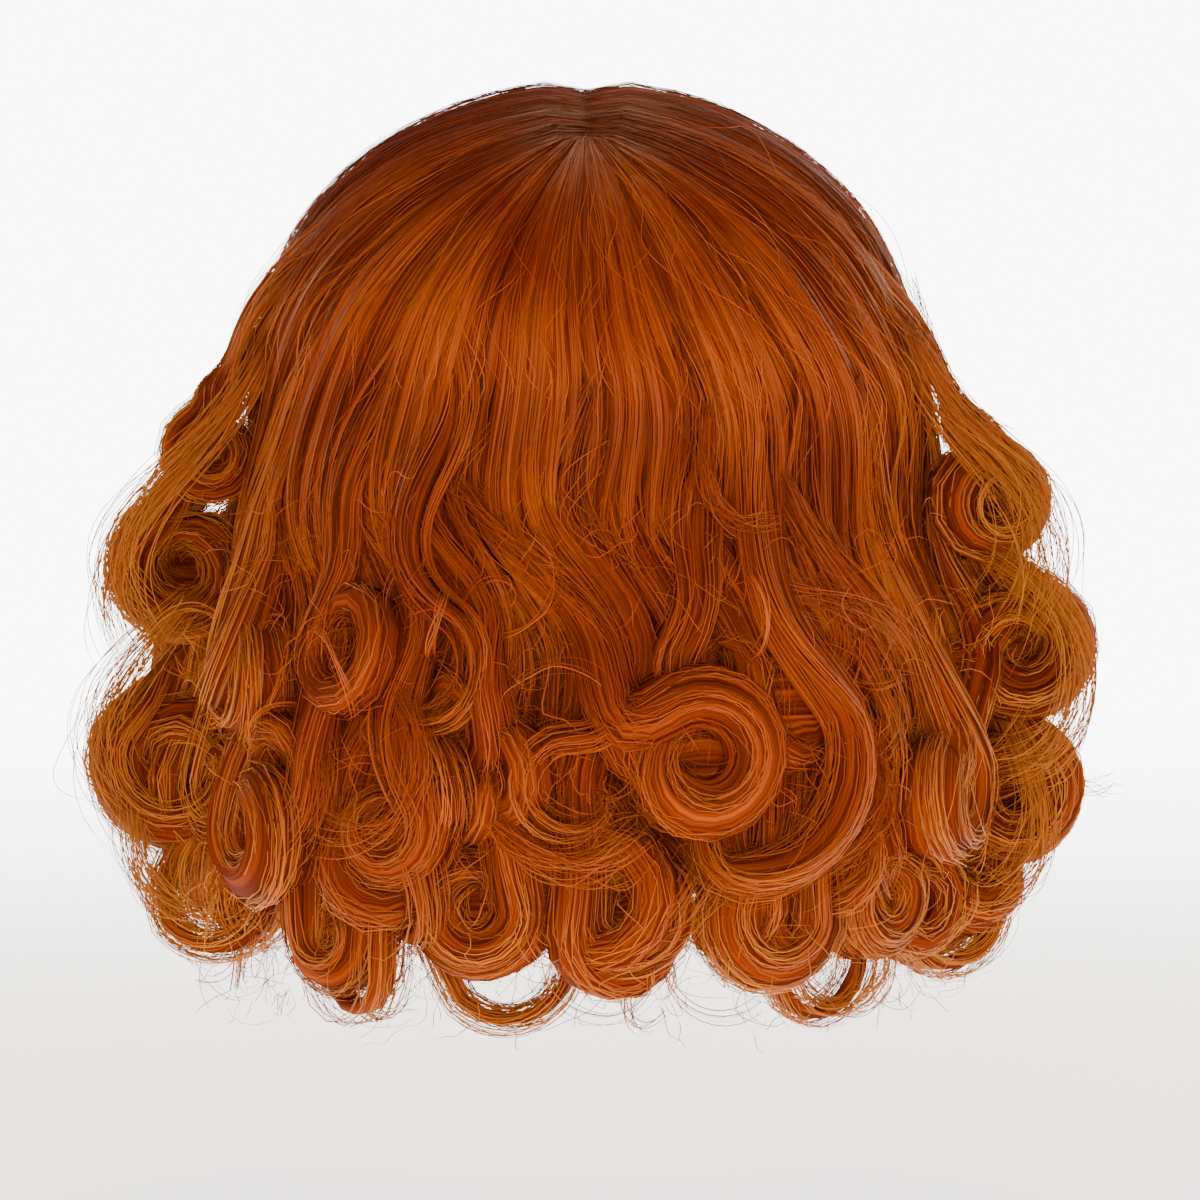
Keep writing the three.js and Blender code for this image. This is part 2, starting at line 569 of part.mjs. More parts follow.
// Cuts away what already lies there and keeps the largest part
function keepClear(solid, others) {
  const near = others.filter((other) => boxesMeet(solid, other));
  const cut = near.reduce((left, other) => left.subtract(other), solid);
  return cut.decompose().reduce((best, part) => (part.volume() > best.volume() ? part : best));
}

const wig = new THREE.Group();
wig.add(pieceOf('wig_cap', makeCap(0), CAP_COLOUR, 0.9));

const taken = [makeCap(LOCK_GAP)];
const underHair = keepClear(makeUnderHair(0), taken);
wig.add(pieceOf('under_hair', underHair, HAIR_SHADE, 0.7));
taken.push(makeUnderHair(LOCK_GAP), underHair);

const lining = [...taken];
WAVES.forEach((wave, place) => {
  const solid = keepClear(makeWave(place, 0), lining);
  wig.add(pieceOf(wave.name, solid, HAIR_COLOUR, 0.5));
  taken.push(makeWave(place, LOCK_GAP), solid);
});
for (const curl of CURLS) {
  const solid = keepClear(makeCurl(curl, 0), taken);
  wig.add(pieceOf(curl.name, solid, HAIR_COLOUR, 0.5));
  taken.push(makeCurl(curl, LOCK_GAP), solid);
}

export default wig;
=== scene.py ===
"""Dresses the curly bob wig: combed locks, coiled curls, the inner curtain, the net cap and the studio."""

import logging
import math
from collections.abc import Iterable, Sequence
from dataclasses import dataclass, field
from enum import Enum

import bmesh
import bpy
import numpy as np
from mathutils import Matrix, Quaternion, Vector


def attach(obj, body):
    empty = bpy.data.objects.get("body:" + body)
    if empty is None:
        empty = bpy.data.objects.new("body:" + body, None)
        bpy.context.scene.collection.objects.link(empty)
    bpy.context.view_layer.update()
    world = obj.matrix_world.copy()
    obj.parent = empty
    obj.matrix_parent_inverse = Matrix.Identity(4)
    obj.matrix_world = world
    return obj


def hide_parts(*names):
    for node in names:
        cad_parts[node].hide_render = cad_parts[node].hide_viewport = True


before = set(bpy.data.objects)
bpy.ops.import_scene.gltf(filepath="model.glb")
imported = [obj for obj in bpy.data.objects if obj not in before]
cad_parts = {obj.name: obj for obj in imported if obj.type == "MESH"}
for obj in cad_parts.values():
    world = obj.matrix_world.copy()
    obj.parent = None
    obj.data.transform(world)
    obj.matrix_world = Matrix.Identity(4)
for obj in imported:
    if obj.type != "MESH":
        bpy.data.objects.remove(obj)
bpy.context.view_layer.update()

logging.basicConfig(level=logging.INFO, format="%(message)s")
LOG = logging.getLogger("wig")

Array = np.ndarray
Colour = tuple[float, float, float]
Triple = tuple[float, float, float]
Chance = np.random.Generator
Piece = bpy.types.Object
Finishes = dict[str, bpy.types.Material]

# The sizes that the waves and the curls share, in metres
FALL = 0.132
CURL_RADIUS = 0.033
HEM_DEPTH = 0.285
RELIEF = 0.005

# Where the hair starts to sway and where it sways in full, as shares of the way to the widest level
SWAY_START = 0.6
SWAY_FULL = 1.45

# The width of a drawn strand. It stands for a few real fibres, which are under 0.1 mm thick.
STRAND_WIDTH = 0.00040
FLYAWAY_WIDTH = 0.00026
FRIZZ_WIDTH = 0.00028

# Points of a core that are closer than this are merged, and shorter edges than the next are dissolved
MERGED = 1e-6
DISSOLVED = 1e-7

# The warm tint of the sheen on the hair
SHEEN = (1.0, 0.62, 0.30, 1.0)
WHITE = (1, 1, 1, 1)


class Hand(Enum):
    """Which way a coil runs, seen from outside."""

    LEFT = 1
    RIGHT = -1


class Seed(Enum):
    """Where each group of pieces starts its row of random numbers."""

    LOOSE = 7
    CURTAIN = 11
    WAVES = 100
    CURLS = 300
    FILLING = 500


class Part(Enum):
    """The record's material slots."""

    HAIR = "hair"
    UNDER_HAIR = "under_hair"
    CAP_NET = "cap_net"


@dataclass(frozen=True)
class Parting:
    """A parting between two waves.

    bearing and drift are degrees from the middle of the back, root is the place along the centre
    parting from the whorl (0) to the hairline (1), swing and phase shape the S of the wave.
    """

    bearing: float
    root: float
    drift: float
    swing: float
    phase: float


@dataclass(frozen=True)
class Wave:
    """A broad lock between two partings: fall is its share of the longest fall."""

    name: str
    fall: float


@dataclass(frozen=True)
class Curl:
    """A coiled lock. Its sizes are shares of the curl radius, its level one of the hem's depth."""

    name: str
    bearing: float
    level: float
    radius: float
    band: float
    body: float
    stand: float
    lead: float
    hand: Hand
    start: float
    turns: float
    tighten: float
    yaw: float = 0.0
    pitch: float = 0.0


@dataclass(frozen=True)
class Lamp:
    """A soft round light that faces the wig: its place and size in metres, and its power in watts."""

    name: str
    place: Triple
    size: float
    power: float
    colour: Colour = (1, 1, 1)


@dataclass(frozen=True)
class Wisp:
    """Loose hairs laid through points across and up, in millimetres.

    depth is their place in depth, or for a loose lock how far it stands off the waves, and spread is
    how far they lie apart.
    """

    depth: float
    points: tuple[tuple[float, float], ...]
    strands: int = 10
    spread: float = 1.2
    steps: int = 20


LAMPS = (
    Lamp("key", (-0.1, -2.1, 0.0), 0.7, 21),
    Lamp("fill", (1.3, -1.7, -0.2), 1.0, 14),
    Lamp("crown", (0.1, 0.5, 1.5), 0.8, 18, (1.0, 0.80, 0.55)),
    Lamp("rim_left", (-1.5, 0.9, 0.4), 0.7, 13, (1.0, 0.74, 0.46)),
    Lamp("rim_right", (1.5, 0.9, 0.4), 0.7, 13, (1.0, 0.74, 0.46)),
    Lamp("front", (0.8, 2.0, 0.5), 1.0, 12, (1.0, 0.86, 0.70)),
)

# From the left of the face round the back to the right
PARTINGS = (
    Parting(bearing=-140, root=1.00, drift=-4, swing=3.0, phase=40),
    Parting(bearing=-114, root=0.55, drift=-2, swing=3.5, phase=90),
    Parting(bearing=-88, root=0.12, drift=2, swing=3.5, phase=150),
    Parting(bearing=-62, root=0, drift=4, swing=4.5, phase=200),
    Parting(bearing=-42, root=0, drift=8, swing=5.0, phase=190),
    Parting(bearing=-21, root=0, drift=14, swing=6.0, phase=175),
    Parting(bearing=-2, root=0, drift=12, swing=6.0, phase=150),
    Parting(bearing=18, root=0, drift=10, swing=5.0, phase=130),
    Parting(bearing=36, root=0, drift=9, swing=5.0, phase=110),
    Parting(bearing=58, root=0, drift=7, swing=4.5, phase=70),
    Parting(bearing=84, root=0.12, drift=2, swing=3.5, phase=30),
    Parting(bearing=112, root=0.55, drift=2, swing=3.5, phase=90),
    Parting(bearing=140, root=1.00, drift=4, swing=3.0, phase=140),
)

WAVES = (
    Wave("front_wave_left", 0.78),
    Wave("temple_wave_left", 0.86),
    Wave("side_wave_left", 0.80),
    Wave("back_wave_1", 0.92),
    Wave("back_wave_2", 0.96),
    Wave("back_wave_3", 0.94),
    Wave("back_wave_4", 0.86),
    Wave("back_wave_5", 0.92),
    Wave("back_wave_6", 1.00),
    Wave("side_wave_right", 0.84),
    Wave("temple_wave_right", 0.84),
    Wave("front_wave_right", 0.78),
)

# How the hair widens below its widest level: depth in falls, and share of its width there
OUTER_FLARE = ((0, 1), (0.35, 1.03), (0.7, 1.07), (1, 1.05), (1.6, 0.98))
INNER_FLARE = ((0, 1), (0.35, 1.03), (0.7, 1.12), (1, 1.18), (1.6, 1.18))

# Across a wave: place from one parting to the next, and how far the lock rises from its groove
WAVE_CROSS = ((0, 0), (0.15, 0.66), (0.38, 0.95), (0.66, 1), (0.87, 0.62), (1, 0))

# The smaller curls between the named ones: the piece's name, its bearings and how many
FILLING = (
    ("left_filling_curls", (-128.0, -60.0), 17),
    ("back_filling_curls", (-60.0, 60.0), 30),
    ("right_filling_curls", (60.0, 128.0), 17),
)

# The wisps that stand off the outline, and the veils of hair at its two sides
WISPS = (
    Wisp(-30, ((-107, -76), (-117, -82), (-126, -85), (-131, -92), (-129, -100), (-123, -109)), strands=16),
    Wisp(-25, ((-111, -81), (-122, -86), (-135, -97), (-144, -112), (-151, -128),
               (-158, -143), (-161, -158), (-152, -170))),
    Wisp(-30, ((-114, -86), (-127, -104), (-139, -109), (-144, -119), (-141, -132)), strands=14),
    Wisp(-40, ((-150, -237), (-144, -254), (-126, -265), (-109, -262), (-99, -251)), strands=16),
    Wisp(-115, ((-38, -256), (-48, -267), (-38, -279), (-22, -283), (-10, -272), (-9, -259)), strands=16),
    Wisp(-95, ((57, -251), (71, -275), (87, -283), (99, -270), (95, -256)), strands=16),
    Wisp(-10, ((143, -204), (156, -213), (169, -216), (179, -214))),
    Wisp(-25, ((108, -44), (112, -64), (121, -82), (131, -93), (142, -99))),
    Wisp(-46, ((-104, -66), (-113, -86), (-126, -102), (-141, -115), (-152, -129),
               (-157, -145), (-153, -158), (-145, -166)), strands=90, spread=4.5),
    Wisp(-44, ((-128, -148), (-146, -166), (-159, -183), (-161, -199), (-155, -213), (-142, -222)),
         strands=80, spread=4.5),
    Wisp(-48, ((-150, -215), (-149, -236), (-140, -250), (-124, -257), (-108, -254), (-98, -243)),
         strands=70, spread=4.5),
    Wisp(-34, ((-100, -54), (-107, -72), (-112, -88), (-119, -104)), strands=50, spread=2.2),
    Wisp(-34, ((98, -54), (107, -72), (112, -88), (118, -104)), strands=50, spread=2.2),
    Wisp(-50, ((103, -60), (112, -82), (126, -99), (141, -111), (150, -128), (150, -146), (141, -157)),
         strands=100, spread=5),
    Wisp(-46, ((133, -136), (152, -145), (162, -162), (163, -181), (158, -197),
               (147, -207), (135, -208)), strands=80, spread=4.5),
    Wisp(-46, ((140, -193), (150, -213), (150, -232), (141, -246), (129, -250), (118, -243)),
         strands=70, spread=4.5),
)

# The loose locks that lie over the waves and the curls at the back
LOOSE_LOCKS = (
    Wisp(5, ((39, -84), (37, -102), (40, -117), (50, -126), (61, -124)), strands=60, spread=1.6),
    Wisp(6, ((-62, -118), (-46, -130), (-37, -146), (-37, -166), (-46, -184), (-58, -188)),
         strands=80, spread=2.2),
    Wisp(6, ((-45, -106), (-28, -124), (-12, -138), (2, -150), (10, -164)), strands=80, spread=2.6),
    Wisp(10, ((62, -108), (72, -128), (86, -146), (100, -160), (108, -178), (104, -196)),
         strands=110, spread=3.4),
    Wisp(8, ((34, -128), (46, -140), (62, -146), (80, -150), (94, -160)), strands=60, spread=3.4),
    Wisp(22, ((-106, -176), (-92, -186), (-82, -202), (-86, -222), (-102, -232)), strands=80, spread=3),
    Wisp(22, ((-72, -160), (-58, -176), (-50, -196), (-54, -214), (-68, -224), (-80, -218)),
         strands=80, spread=3.2),
    Wisp(24, ((76, -176), (90, -190), (96, -208), (88, -226), (72, -234)), strands=80, spread=3.2),
    Wisp(19, ((-40, -200), (-30, -216), (-14, -228), (4, -230), (16, -220)), strands=70, spread=3),
    Wisp(17, ((-12, -236), (0, -250), (14, -257), (28, -250), (37, -236)), strands=60, spread=3),
    Wisp(19, ((26, -218), (40, -232), (58, -236), (70, -228), (74, -214)), strands=70, spread=3),
)

# The cap's hem: bearing from the middle of the back, and depth as a share of the crown's height
CAP_HEM = ((0, 1.44), (45, 1.30), (80, 1.04), (105, 1.09), (130, 0.88), (148, 0.69), (163, 0.54), (180, 0.48))

CURLS = (
    Curl("rose_curl", bearing=15, level=0.685, radius=0.64, band=0.34, body=0.42,
         stand=0.46, lead=0.8, hand=Hand.RIGHT, start=150, turns=1.2, tighten=0.5, pitch=-6),
    Curl("open_curl", bearing=-2, level=0.715, radius=0.46, band=0.17, body=0.30,
         stand=0.40, lead=0.7, hand=Hand.LEFT, start=65, turns=0.8, tighten=0.1),
    Curl("right_sweep", bearing=22, level=0.70, radius=1.22, band=0.26, body=0.40,
         stand=0.24, lead=1.1, hand=Hand.RIGHT, start=62, turns=0.5, tighten=0.15),
    Curl("left_hook", bearing=-23, level=0.585, radius=0.60, band=0.18, body=0.26,
         stand=0.24, lead=1.2, hand=Hand.RIGHT, start=80, turns=0.62, tighten=0.1),
    Curl("left_mid_curl", bearing=-27, level=0.765, radius=0.46, band=0.26, body=0.36,
         stand=0.36, lead=1.2, hand=Hand.RIGHT, start=60, turns=1.05, tighten=0.45),
    Curl("left_low_spiral", bearing=-50, level=0.775, radius=0.56, band=0.32, body=0.42,
         stand=0.42, lead=1.0, hand=Hand.LEFT, start=150, turns=1.15, tighten=0.5, yaw=-12),
    Curl("left_side_curl", bearing=-56, level=0.60, radius=0.56, band=0.28, body=0.38,
         stand=0.18, lead=1.0, hand=Hand.LEFT, start=140, turns=0.85, tighten=0.3, yaw=-15),
    Curl("left_temple_curl", bearing=-80, level=0.36, radius=0.34, band=0.24, body=0.50,
         stand=0.26, lead=0.6, hand=Hand.LEFT, start=110, turns=0.9, tighten=0.3, yaw=78),
    Curl("left_barrel_high", bearing=-84, level=0.495, radius=0.56, band=0.30, body=0.62,
         stand=0.42, lead=0.8, hand=Hand.LEFT, start=120, turns=1.0, tighten=0.4, yaw=80),
    Curl("left_barrel_low", bearing=-80, level=0.72, radius=0.66, band=0.36, body=0.66,
         stand=0.42, lead=0.7, hand=Hand.LEFT, start=120, turns=1.1, tighten=0.45, yaw=74),
    Curl("left_hem_loop", bearing=-71, level=0.85, radius=0.70, band=0.17, body=0.30,
         stand=0.30, lead=0.7, hand=Hand.LEFT, start=185, turns=0.65, tighten=0.1, yaw=50),
    Curl("left_hem_curl", bearing=-39, level=0.89, radius=0.38, band=0.28, body=0.40,
         stand=0.18, lead=0.7, hand=Hand.LEFT, start=170, turns=1.0, tighten=0.35),
    Curl("left_back_loop", bearing=-13, level=0.91, radius=0.70, band=0.15, body=0.26,
         stand=-0.22, lead=0.9, hand=Hand.LEFT, start=190, turns=0.62, tighten=0.15),
    Curl("hem_curl_1", bearing=-16, level=0.855, radius=0.50, band=0.32, body=0.38,
         stand=0.10, lead=0.8, hand=Hand.RIGHT, start=30, turns=0.95, tighten=0.35),
    Curl("hem_curl_2", bearing=6, level=0.855, radius=0.48, band=0.32, body=0.38,
         stand=0.12, lead=0.7, hand=Hand.LEFT, start=165, turns=0.95, tighten=0.35),
    Curl("hem_curl_3", bearing=28, level=0.865, radius=0.54, band=0.32, body=0.38,
         stand=0.12, lead=0.8, hand=Hand.RIGHT, start=20, turns=0.95, tighten=0.35),
    Curl("hem_curl_4", bearing=49, level=0.85, radius=0.48, band=0.30, body=0.38,
         stand=0.10, lead=0.8, hand=Hand.LEFT, start=160, turns=0.95, tighten=0.35),
    Curl("right_back_loop", bearing=42, level=0.915, radius=0.66, band=0.15, body=0.26,
         stand=-0.10, lead=0.8, hand=Hand.LEFT, start=195, turns=0.62, tighten=0.15),
    Curl("right_hem_loop", bearing=73, level=0.875, radius=0.66, band=0.17, body=0.30,
         stand=0.22, lead=0.9, hand=Hand.LEFT, start=185, turns=0.65, tighten=0.1, yaw=-40),
    Curl("right_low_spiral", bearing=58, level=0.735, radius=0.56, band=0.32, body=0.42,
         stand=0.40, lead=1.2, hand=Hand.RIGHT, start=60, turns=1.15, tighten=0.5, yaw=10),
    Curl("right_roll_high", bearing=80, level=0.415, radius=0.44, band=0.28, body=0.60,
         stand=0.46, lead=0.6, hand=Hand.RIGHT, start=70, turns=1.05, tighten=0.3, yaw=-64),
    Curl("right_barrel_mid", bearing=82, level=0.585, radius=0.56, band=0.34, body=0.62,
         stand=0.62, lead=0.7, hand=Hand.RIGHT, start=60, turns=1.05, tighten=0.45, yaw=-76),
    Curl("right_fall", bearing=82, level=0.75, radius=0.58, band=0.34, body=0.58,
         stand=0.54, lead=0.7, hand=Hand.RIGHT, start=60, turns=1.0, tighten=0.4, yaw=-66),
    Curl("left_cheek_curl_high", bearing=-106, level=0.62, radius=0.58, band=0.32, body=0.52,
         stand=0.34, lead=1.0, hand=Hand.LEFT, start=150, turns=1.0, tighten=0.4, yaw=24),
    Curl("left_cheek_curl_low", bearing=-104, level=0.82, radius=0.56, band=0.34, body=0.52,
         stand=0.26, lead=0.8, hand=Hand.RIGHT, start=60, turns=1.0, tighten=0.4, yaw=10),
    Curl("left_jaw_curl", bearing=-130, level=0.72, radius=0.54, band=0.30, body=0.44,
         stand=0.08, lead=1.2, hand=Hand.RIGHT, start=40, turns=1.0, tighten=0.4),
    Curl("left_front_tip", bearing=-126, level=0.875, radius=0.40, band=0.24, body=0.32,
         stand=0.10, lead=0.7, hand=Hand.LEFT, start=175, turns=0.8, tighten=0.25),
    Curl("right_cheek_curl_high", bearing=107, level=0.60, radius=0.58, band=0.32, body=0.52,
         stand=0.34, lead=1.0, hand=Hand.RIGHT, start=30, turns=1.0, tighten=0.4, yaw=-24),
    Curl("right_cheek_curl_low", bearing=105, level=0.81, radius=0.56, band=0.34, body=0.52,
         stand=0.26, lead=0.8, hand=Hand.LEFT, start=120, turns=1.0, tighten=0.4, yaw=-10),
    Curl("right_jaw_curl", bearing=131, level=0.72, radius=0.54, band=0.30, body=0.44,
         stand=0.06, lead=1.2, hand=Hand.LEFT, start=140, turns=1.0, tighten=0.4),
    Curl("right_front_tip", bearing=127, level=0.87, radius=0.40, band=0.24, body=0.32,
         stand=0.10, lead=0.7, hand=Hand.RIGHT, start=5, turns=0.8, tighten=0.25),
)


def chance(seed: Seed, number: int = 0) -> Chance:
    """The source of chance for a piece of a group, which is the same at each run."""
    return np.random.default_rng(seed.value + number)


def smooth(value: Array | float, low: float, high: float) -> Array:
    """Rises smoothly from 0 at low to 1 at high."""
    share = np.clip((np.asarray(value, float) - low) / (high - low), 0, 1)
    return share * share * (3 - 2 * share)


def unit(vectors: Array) -> Array:
    """Scales vectors to a length of 1."""
    return vectors / np.maximum(np.linalg.norm(vectors, axis=-1, keepdims=True), 1e-12)


def softened(lines: Array, weight: Array, times: int) -> Array:
    """Rounds the corners of lines.

    Args:
        lines: points, with the steps along each line on the last axis but one. It is changed.
        weight: how much each point moves, 0 to 0.5.
        times: how often.

    Returns:
        The same lines.
    """
    for _ in range(times):
        middle = (lines[..., :-2, :] + lines[..., 2:, :]) / 2
        lines[..., 1:-1, :] += (middle - lines[..., 1:-1, :]) * weight[..., 1:-1, None]
    return lines


def read_table(rows: Sequence[tuple[float, float]], position: Array) -> Array:
    """Reads a table with a smooth step between its rows.

    Args:
        rows: pairs of a rising position and its value.
        position: where to read it.

    Returns:
        The values there.
    """
    at = np.array([row[0] for row in rows], float)
    values = np.array([row[1] for row in rows], float)
    low = np.clip(np.searchsorted(at, position, side="right") - 1, 0, len(at) - 2)
    share = np.clip((position - at[low]) / (at[low + 1] - at[low]), 0, 1)
    share = share * share * (3 - 2 * share)
    return values[low] + (values[low + 1] - values[low]) * share


def widened(half: Array, flare: Array, height: Array | float) -> Array:
    """Widens the half sizes of a rounded form.

    Args:
        half: its half sizes.
        flare: the share of them across and in depth, at each point.
        height: what is added to them all.

    Returns:
        The half sizes at each point.
    """
    size = np.stack([half[0] * flare, half[1] * flare, np.full_like(flare, half[2])], -1)
    return size + (np.zeros_like(flare) + height)[..., None]


@dataclass(frozen=True)
class HairForm:
    """The head, the smooth form of the hair round it, and the way the hair runs over it."""

    head_breadth: float = 0.154
    head_length: float = 0.194
    crown_height: float = 0.108
    crown_loft: float = 0.020
    side_loft: float = 0.0375
    back_loft: float = 0.030
    front_loft: float = 0.018
    widest_depth: float = 0.085
    whorl_tilt: float = 33.0
    hairline_tilt: float = 61.0
    whorl_overlap: float = 0.003
    parting_overlap: float = 0.0012
    wave_length: float = 0.088
    groove: float = 0.007
    groove_at_root: float = 0.08
    cap_wall: float = 0.0015
    clearance: float = 0.0015
    curtain: float = 0.008
    curtain_depth: float = 0.250
    curtain_start: float = 0.74
    curtain_onset: float = 0.15
    drift_onset: float = 0.08
    search_grid: tuple[int, int] = (241, 121)
    search_from: float = 0.3

    @property
    def head(self) -> Array:
        """Half the head's sizes."""
        return np.array([self.head_breadth / 2, self.head_length / 2, self.crown_height])

    @property
    def head_centre(self) -> Array:
        """The middle of the head's widest level."""
        return np.array([0, 0, -self.crown_height])

    @property
    def hair(self) -> Array:
        """Half the sizes of the smooth form of the hair."""
        loft = (self.side_loft, (self.back_loft + self.front_loft) / 2)
        return np.array([self.head[0] + loft[0], self.head[1] + loft[1], self.widest_depth + self.crown_loft])

    @property
    def hair_centre(self) -> Array:
        """The middle of the hair's widest level."""
        return np.array([0, (self.front_loft - self.back_loft) / 2, -self.widest_depth])

    @property
    def dome_run(self) -> float:
        """The way over the dome from the root to the widest level."""
        return math.pi / 4 * (self.hair[0] + self.hair[2])

    @property
    def inner_lag(self) -> float:
        """How far the head side of the hair is behind its outside at the widest level."""
        return 1 - 2 / math.pi * math.acos(1 - self.widest_depth / self.crown_height)

    @property
    def curtain_reach(self) -> float:
        """The reach of the hem of the inner curtain."""
        return 1 + (self.curtain_depth - self.widest_depth) / FALL

    def column(self, place: Array, name: str) -> Array:
        """Reads a column of the partings between two of them."""
        return np.interp(place, np.arange(len(PARTINGS)), [getattr(parting, name) for parting in PARTINGS])

    def level_direction(self, bearing: Array) -> Array:
        """The level direction at a bearing from the middle of the back."""
        angle = np.radians(bearing)
        return np.stack([np.sin(angle), -np.cos(angle), np.zeros_like(angle)], -1)

    def root_directions(self) -> Array:
        """Where each parting leaves the whorl or the centre parting, a little past its middle.

        Returns:
            Unit vectors from the middle of the hair, one for each parting.
        """
        roots = []
        for parting in PARTINGS:
            tilt = math.radians(-self.whorl_tilt + (self.hairline_tilt + self.whorl_tilt) * parting.root)
            on_top = np.array([0, math.sin(tilt), math.cos(tilt)])
            if parting.root == 0:
                level = self.level_direction(np.array(parting.bearing, float))
                on_top = on_top - (level - on_top) * self.whorl_overlap / self.hair[2]
            else:
                on_top[0] = -math.copysign(self.parting_overlap / self.hair[0], parting.bearing)
            roots.append(unit(on_top))
        return np.array(roots)

    def wave_angle(self, place: Array, reach: Array) -> Array:
        """The angle of the S wave at a place and reach."""
        run = np.minimum(reach, 1) * self.dome_run + np.maximum(reach - 1, 0) * FALL
        return 2 * np.pi * run / self.wave_length + np.radians(self.column(place, "phase"))

    def direction(self, place: Array, reach: Array, turn: Array, shift: Array | float = 0.0) -> Array:
        """The direction in which the hair at a place lies.

        Args:
            place: 0 at the first parting, one more at each next one.
            reach: 0 at the root, 1 at the widest level, 2 at the longest tip.
            turn: how far it has turned from its root (0) to level (1).
            shift: how far the lock's S is ahead of its neighbours', in radians.

        Returns:
            Unit vectors from the middle of the hair.
        """
        roots = self.root_directions()
        low = np.clip(np.floor(place).astype(int), 0, len(PARTINGS) - 2)
        share = (place - low)[..., None]
        root = unit(roots[low] * (1 - share) + roots[low + 1] * share)
        sway = np.sin(self.wave_angle(place, reach) + shift) * smooth(reach, SWAY_START, SWAY_FULL)
        bearing = self.column(place, "bearing") + self.column(place, "swing") * sway
        fallen = (reach - 1 + np.sqrt((reach - 1) ** 2 + self.drift_onset)) / 2
        bearing = bearing + self.column(place, "drift") * fallen
        level = self.level_direction(bearing)
        angle = np.arccos(np.clip((root * level).sum(-1), -1, 1))[..., None]
        turned = np.minimum(turn, 1)[..., None]
        return unit(root * np.sin((1 - turned) * angle) + level * np.sin(turned * angle))

    def outer(self, place: Array, reach: Array, height: Array | float, shift: Array | float = 0.0) -> Array:
        """Points on the outside of the hair.

        Args:
            place: 0 at the first parting, one more at each next one.
            reach: 0 at the root, 1 at the widest level, 2 at the longest tip.
            height: how far they are raised off the smooth form.
            shift: how far the lock's S is ahead of its neighbours', in radians.

        Returns:
            The points.
        """
        towards = self.direction(place, reach, reach, shift)
        fall = np.maximum(reach - 1, 0)
        point = self.hair_centre + towards * widened(self.hair, read_table(OUTER_FLARE, fall), height)
        point[..., 2] -= fall * FALL
        return point

    def inner(self, place: Array, reach: Array, height: Array | float) -> Array:
        """Points on the head side of the hair.

        Args:
            place: 0 at the first parting, one more at each next one.
            reach: 0 at the root, 1 at the widest level, 2 at the longest tip.
            height: how far they are raised off the head.

        Returns:
            The points.
        """
        turn = reach - self.inner_lag * smooth(reach, 0, 1)
        towards = self.direction(place, reach, turn)
        fall = np.maximum(turn - 1, 0)
        point = self.head_centre + towards * widened(self.head, read_table(INNER_FLARE, fall), height)
        drop = (FALL + self.widest_depth - self.crown_height) / (1 - self.inner_lag)
        point[..., 2] -= fall * drop
        return point

    def normal(self, points: Array) -> Array:
        """The outward direction of the smooth form.

        Args:
            points: points on or near it.

        Returns:
            A unit vector at each point.
        """
        offset = points - self.hair_centre
        offset[..., 2] = np.maximum(offset[..., 2], 0)
        return unit(offset / self.hair**2)

    def side_point(self, bearing: Array | float, level: Array | float) -> Array:
        """Points on the outside of the waves below the widest level.

        Args:
            bearing: degrees from the middle of the back.
            level: the height of the points.

        Returns:
            The points.
        """
        fall = np.maximum(-np.asarray(level, float) - self.widest_depth, 0) / FALL
        flare = read_table(OUTER_FLARE, fall)
        towards = self.level_direction(np.asarray(bearing, float))
        point = self.hair_centre + towards * self.hair * flare[..., None]
        point[..., 2] = level
        return point

    def nearest(self, point: Array) -> tuple[float, float]:
        """Finds the spot on the outside of the hair that is nearest to a point.

        Args:
            point: the point.

        Returns:
            The place and the reach of the spot.
        """
        across = np.linspace(0, len(PARTINGS) - 1, self.search_grid[0])
        down = np.linspace(self.search_from, 2, self.search_grid[1])
        place, reach = np.meshgrid(across, down, indexing="ij")
        distance = np.linalg.norm(self.outer(place, reach, 0.0) - point, axis=-1)
        best = np.unravel_index(int(distance.argmin()), distance.shape)
        return float(place[best]), float(reach[best])

    def curtain_wall(self, reach: Array) -> Array:
        """The thickness of the inner curtain, which starts thin under the crown."""
        return self.cap_wall + (self.curtain - self.cap_wall) * smooth(reach, self.curtain_start, SWAY_FULL)

    def lining(self, reach: Array) -> Array:
        """The height of the waves' head side over the head."""
        on_curtain = smooth(reach, self.curtain_start - self.curtain_onset, self.curtain_start)
        return self.cap_wall + self.clearance + (self.curtain_wall(reach) + self.clearance) * on_curtain


def linked(name: str, data: bpy.types.ID) -> Piece:
    """Makes an object and puts it in the scene.

    Args:
        name: the object's name.
        data: its mesh, light or camera.

    Returns:
        The object.
    """
    thing = bpy.data.objects.new(name, data)
    bpy.context.scene.collection.objects.link(thing)
    return thing


def capped(rings: Array, middle: Array) -> Array:
    """Closes both ends of a row of rings with a ring of equal points.

    Args:
        rings: points, as rings x points round x 3.
        middle: the middle of each ring, as rings x 1 x 3.

    Returns:
        The rings with one more at each end.
    """
    around = rings.shape[1]
    return np.concatenate([np.repeat(middle[:1], around, 1), rings, np.repeat(middle[-1:], around, 1)])


